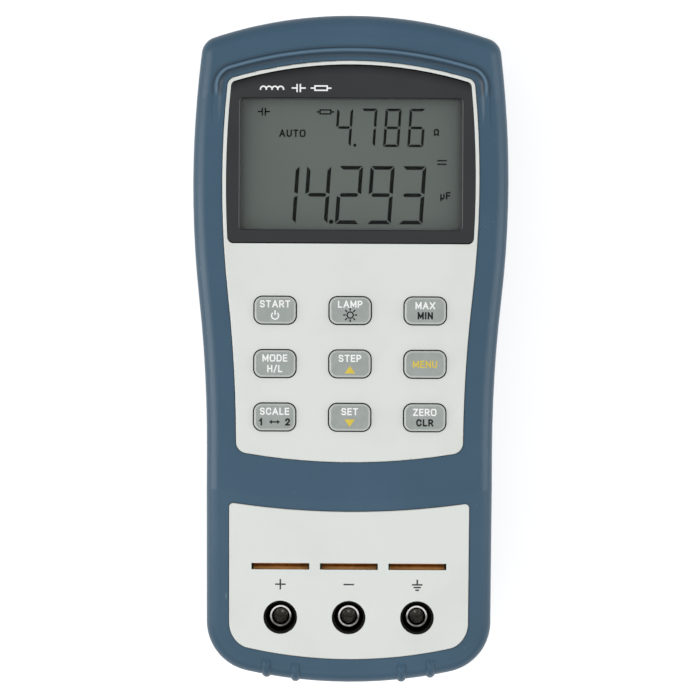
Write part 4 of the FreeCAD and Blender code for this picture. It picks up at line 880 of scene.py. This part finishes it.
mark_finish = ink("print_panel_black", MARK_BLACK)
mesh = bmesh.new()
for pole in ("plus", "minus", "guard"):
    low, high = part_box("jack_sleeve_" + pole)
    x, y = (low.x + high.x) / 2, (low.y + high.y) / 2 + MARK_RISE
    lines = [[(x - MARK_REACH, y), (x + MARK_REACH, y)]]
    if pole == "plus":
        lines.append([(x, y - MARK_REACH), (x, y + MARK_REACH)])
    if pole == "guard":
        lines.append([(x, y), (x, y + MARK_REACH)])
        for reach, drop in EARTH_BARS:
            lines.append([(x - reach, y - drop), (x + reach, y - drop)])
    strokes(mesh, lines, MARK_STROKE, -SINK, PRINT_RISE)
for corner in mesh.verts:
    corner.co.z += panel_height(corner.co.x, corner.co.y)
piece("socket_marks", mesh, mark_finish, "housing", "silicone_dark")

# Inside: the display stack, key mat, circuit board, battery and its clip.
# They show only through the slots and gaps, or with the battery door off; each has its usual finish.
INSIDE = {"light_guide": ("light_guide_acrylic", [(0.60, 0.66, 0.62), (0.70, 0.75, 0.70)], 0.3, 120.0),
          "zebra_strips": ("zebra_silicone", [(0.06, 0.05, 0.05), (0.36, 0.24, 0.20)], 0.6, 4000.0),
          "lcd_holder": ("holder_white_abs", [(0.60, 0.60, 0.57), (0.68, 0.68, 0.65)], 0.45, 90.0),
          "key_mat": ("key_mat_silicone", [(0.17, 0.18, 0.18), (0.23, 0.24, 0.24)], 0.62, 160.0),
          "main_board": ("board_green_mask", [(0.010, 0.075, 0.030), (0.018, 0.120, 0.048)], 0.35, 340.0),
          "board_chips": ("chip_black_epoxy", [(0.014, 0.014, 0.015), (0.024, 0.024, 0.025)], 0.55, 900.0),
          "battery": ("battery_printed_can", [(0.055, 0.058, 0.065), (0.085, 0.088, 0.095)], 0.3, 60.0),
          "battery_clip": ("battery_clip_vinyl", [(0.012, 0.012, 0.012), (0.022, 0.022, 0.022)], 0.55, 300.0)}
for node, (name, colours, roughness, scale) in INSIDE.items():
    finish, shader = new_finish(name, colours[0], roughness)
    mottle(finish, shader, colours, scale=scale)
    grain(finish, shader, scale=3000.0, height=0.006 * MM, spread=0.05)
    clothe(node, finish)

# Screws and data socket: zinc-plated steel; the board's screws and the socket's shell stay inside.
# The case and door screws show at the back, so they are made again here with their cross recess.
STEEL = [(0.42, 0.42, 0.43), (0.55, 0.55, 0.56)]
SCREW_BEVEL = 0.3 * MM
CROSS_REACH = 1.45 * MM
CROSS_HALF = 0.32 * MM
CROSS_DEPTH = 0.8 * MM

steel_finish, shader = new_finish("screw_zinc_steel", STEEL[0], roughness=0.32, metallic=1.0)
mottle(steel_finish, shader, STEEL, scale=700.0)
grain(steel_finish, shader, scale=2600.0, height=0.003 * MM, spread=0.08)
for node in ("board_screws", "usb_socket"):
    clothe(node, steel_finish)


def cross_screw(mesh, corners):
    """A screw with the size and place of a CAD one, its head downward, with a cross recess."""
    low = Vector([min(corner[axis] for corner in corners) for axis in range(3)])
    high = Vector([max(corner[axis] for corner in corners) for axis in range(3)])
    x, y = (low.x + high.x) / 2, (low.y + high.y) / 2
    head = (high.x - low.x) / 2
    top = [corner for corner in corners if abs(corner.z - high.z) < SAME_PLACE]
    shank = max(corner.x for corner in top) - x
    wide = [corner.z for corner in corners if corner.x - x > head - SAME_PLACE]
    face, shoulder = min(wide), max(wide)

    def circle(radius, height):
        """A ring round the screw's axis."""
        return ring(mesh, arc_points(x, y, radius, 0, 350, steps=35), height)

    cross = []
    arm = ((CROSS_REACH, -CROSS_HALF), (CROSS_REACH, CROSS_HALF), (CROSS_HALF, CROSS_HALF))
    for turn in range(4):
        facing = Matrix.Rotation(math.radians(90 * turn), 2)
        for point in arm:
            step = facing @ Vector(point)
            cross.append((x + step.x, y + step.y))
    mouth, mouth_sides = ring(mesh, cross, face)
    floor, _ = ring(mesh, cross, face + CROSS_DEPTH)
    flat, flat_sides = circle(head - SCREW_BEVEL, face)
    edge, _ = circle(head, face + SCREW_BEVEL)
    under, under_sides = circle(head, shoulder)
    neck, neck_sides = circle(shank, shoulder)
    tip, _ = circle(shank, high.z)
    span(mesh, mouth_sides, flat_sides)
    span(mesh, under_sides, neck_sides)
    for lower, upper in ((mouth, floor), (flat, edge), (edge, under), (neck, tip)):
        wall(mesh, lower, upper)
    mesh.faces.new(floor)
    mesh.faces.new(tip)


for node in ("case_screws", "door_screw"):
    mesh = bmesh.new()
    corners = [corner.co.copy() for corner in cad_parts[node].data.vertices]
    if node == "case_screws":
        groups = [[corner for corner in corners if corner.x * side > 0 and corner.y * end > 0]
                  for side in (-1, 1) for end in (-1, 1)]
    else:
        groups = [corners]
    for group in groups:
        cross_screw(mesh, group)
    piece(node + "_cross", mesh, steel_finish, "housing", "screw_steel", node)

# Studio: a pale table, a soft lamp above the foot end, and a narrower lamp on each side.
# The camera looks straight down from the distance of the photograph, turned a trace as it was.
TABLE_COLOURS = [(0.85, 0.85, 0.85), (0.87, 0.87, 0.87)]
TABLE_SIZE = 4.0
TABLE_LIFT = 0.48
TABLE_NEAR = 0.3
TABLE_FAR = 1.2
CAMERA_HEIGHT = 0.741
CAMERA_Y = 0.07 * MM
CAMERA_TURN = math.radians(0.3)
ROOM_LIGHT = 0.42


def seen_directly(finish):
    """One for rays from the camera, in reflections or through clear pieces; nought for bounced light."""
    rays = add_node(finish, "LightPath")
    share = rays.outputs["Is Camera Ray"]
    for kind in ("Is Glossy Ray", "Is Transmission Ray"):
        share = larger(finish, share, rays.outputs[kind])
    return share


table_finish, shader = new_finish("table_pale", TABLE_COLOURS[0], roughness=0.9, specular=0.0)
mottle(table_finish, shader, TABLE_COLOURS, scale=8.0)
away = add_node(table_finish, "VectorMath", [(0, place_on(table_finish))], operation="LENGTH")
paler = add_node(table_finish, "MapRange", [("Value", away.outputs["Value"])], From_Min=TABLE_NEAR,
                 From_Max=TABLE_FAR, To_Min=TABLE_LIFT, To_Max=1.0)
lift = times(table_finish, seen_directly(table_finish), paler.outputs["Result"])
shader.inputs["Emission Color"].default_value = (1.0, 1.0, 1.0, 1.0)
table_finish.node_tree.links.new(lift, shader.inputs["Emission Strength"])
bpy.ops.mesh.primitive_plane_add(size=TABLE_SIZE, location=(0, 0, 0))
table = bpy.context.object
table.name = "table"
table.data.materials.append(table_finish)


def lamp(name, place, width, depth, power):
    """A soft rectangular lamp aimed at the middle of the object."""
    light = bpy.data.lights.new(name, "AREA")
    light.shape = "RECTANGLE"
    light.size = width
    light.size_y = depth
    light.energy = power
    made = bpy.data.objects.new(name, light)
    made.location = place
    made.rotation_euler = Vector(place).to_track_quat("Z", "Y").to_euler()
    bpy.context.scene.collection.objects.link(made)


lamp("lamp_above", (0.0, -0.80, 1.15), width=1.4, depth=0.5, power=2.2)
lamp("lamp_left", (-0.90, 0.0, 0.75), width=0.24, depth=1.2, power=7.2)
lamp("lamp_right", (0.90, 0.0, 0.75), width=0.24, depth=1.2, power=4.9)

world = bpy.data.worlds.new("studio")
world.use_nodes = True
room = world.node_tree.nodes["Background"]
room.inputs["Color"].default_value = (1.0, 1.0, 1.0, 1.0)
brightness = add_node(world, "MapRange", [("Value", seen_directly(world))], To_Min=ROOM_LIGHT, To_Max=1.0)
world.node_tree.links.new(brightness.outputs["Result"], room.inputs["Strength"])
bpy.context.scene.world = world
bpy.context.scene.view_settings.view_transform = "Standard"

camera_data = bpy.data.cameras.new("camera")
camera_data.lens = 130.0
camera_data.sensor_width = 36.0
camera = bpy.data.objects.new("camera", camera_data)
camera.location = (0.0, CAMERA_Y, CAMERA_HEIGHT)
camera.rotation_euler = (0.0, 0.0, CAMERA_TURN)
bpy.context.scene.collection.objects.link(camera)
bpy.context.scene.camera = camera
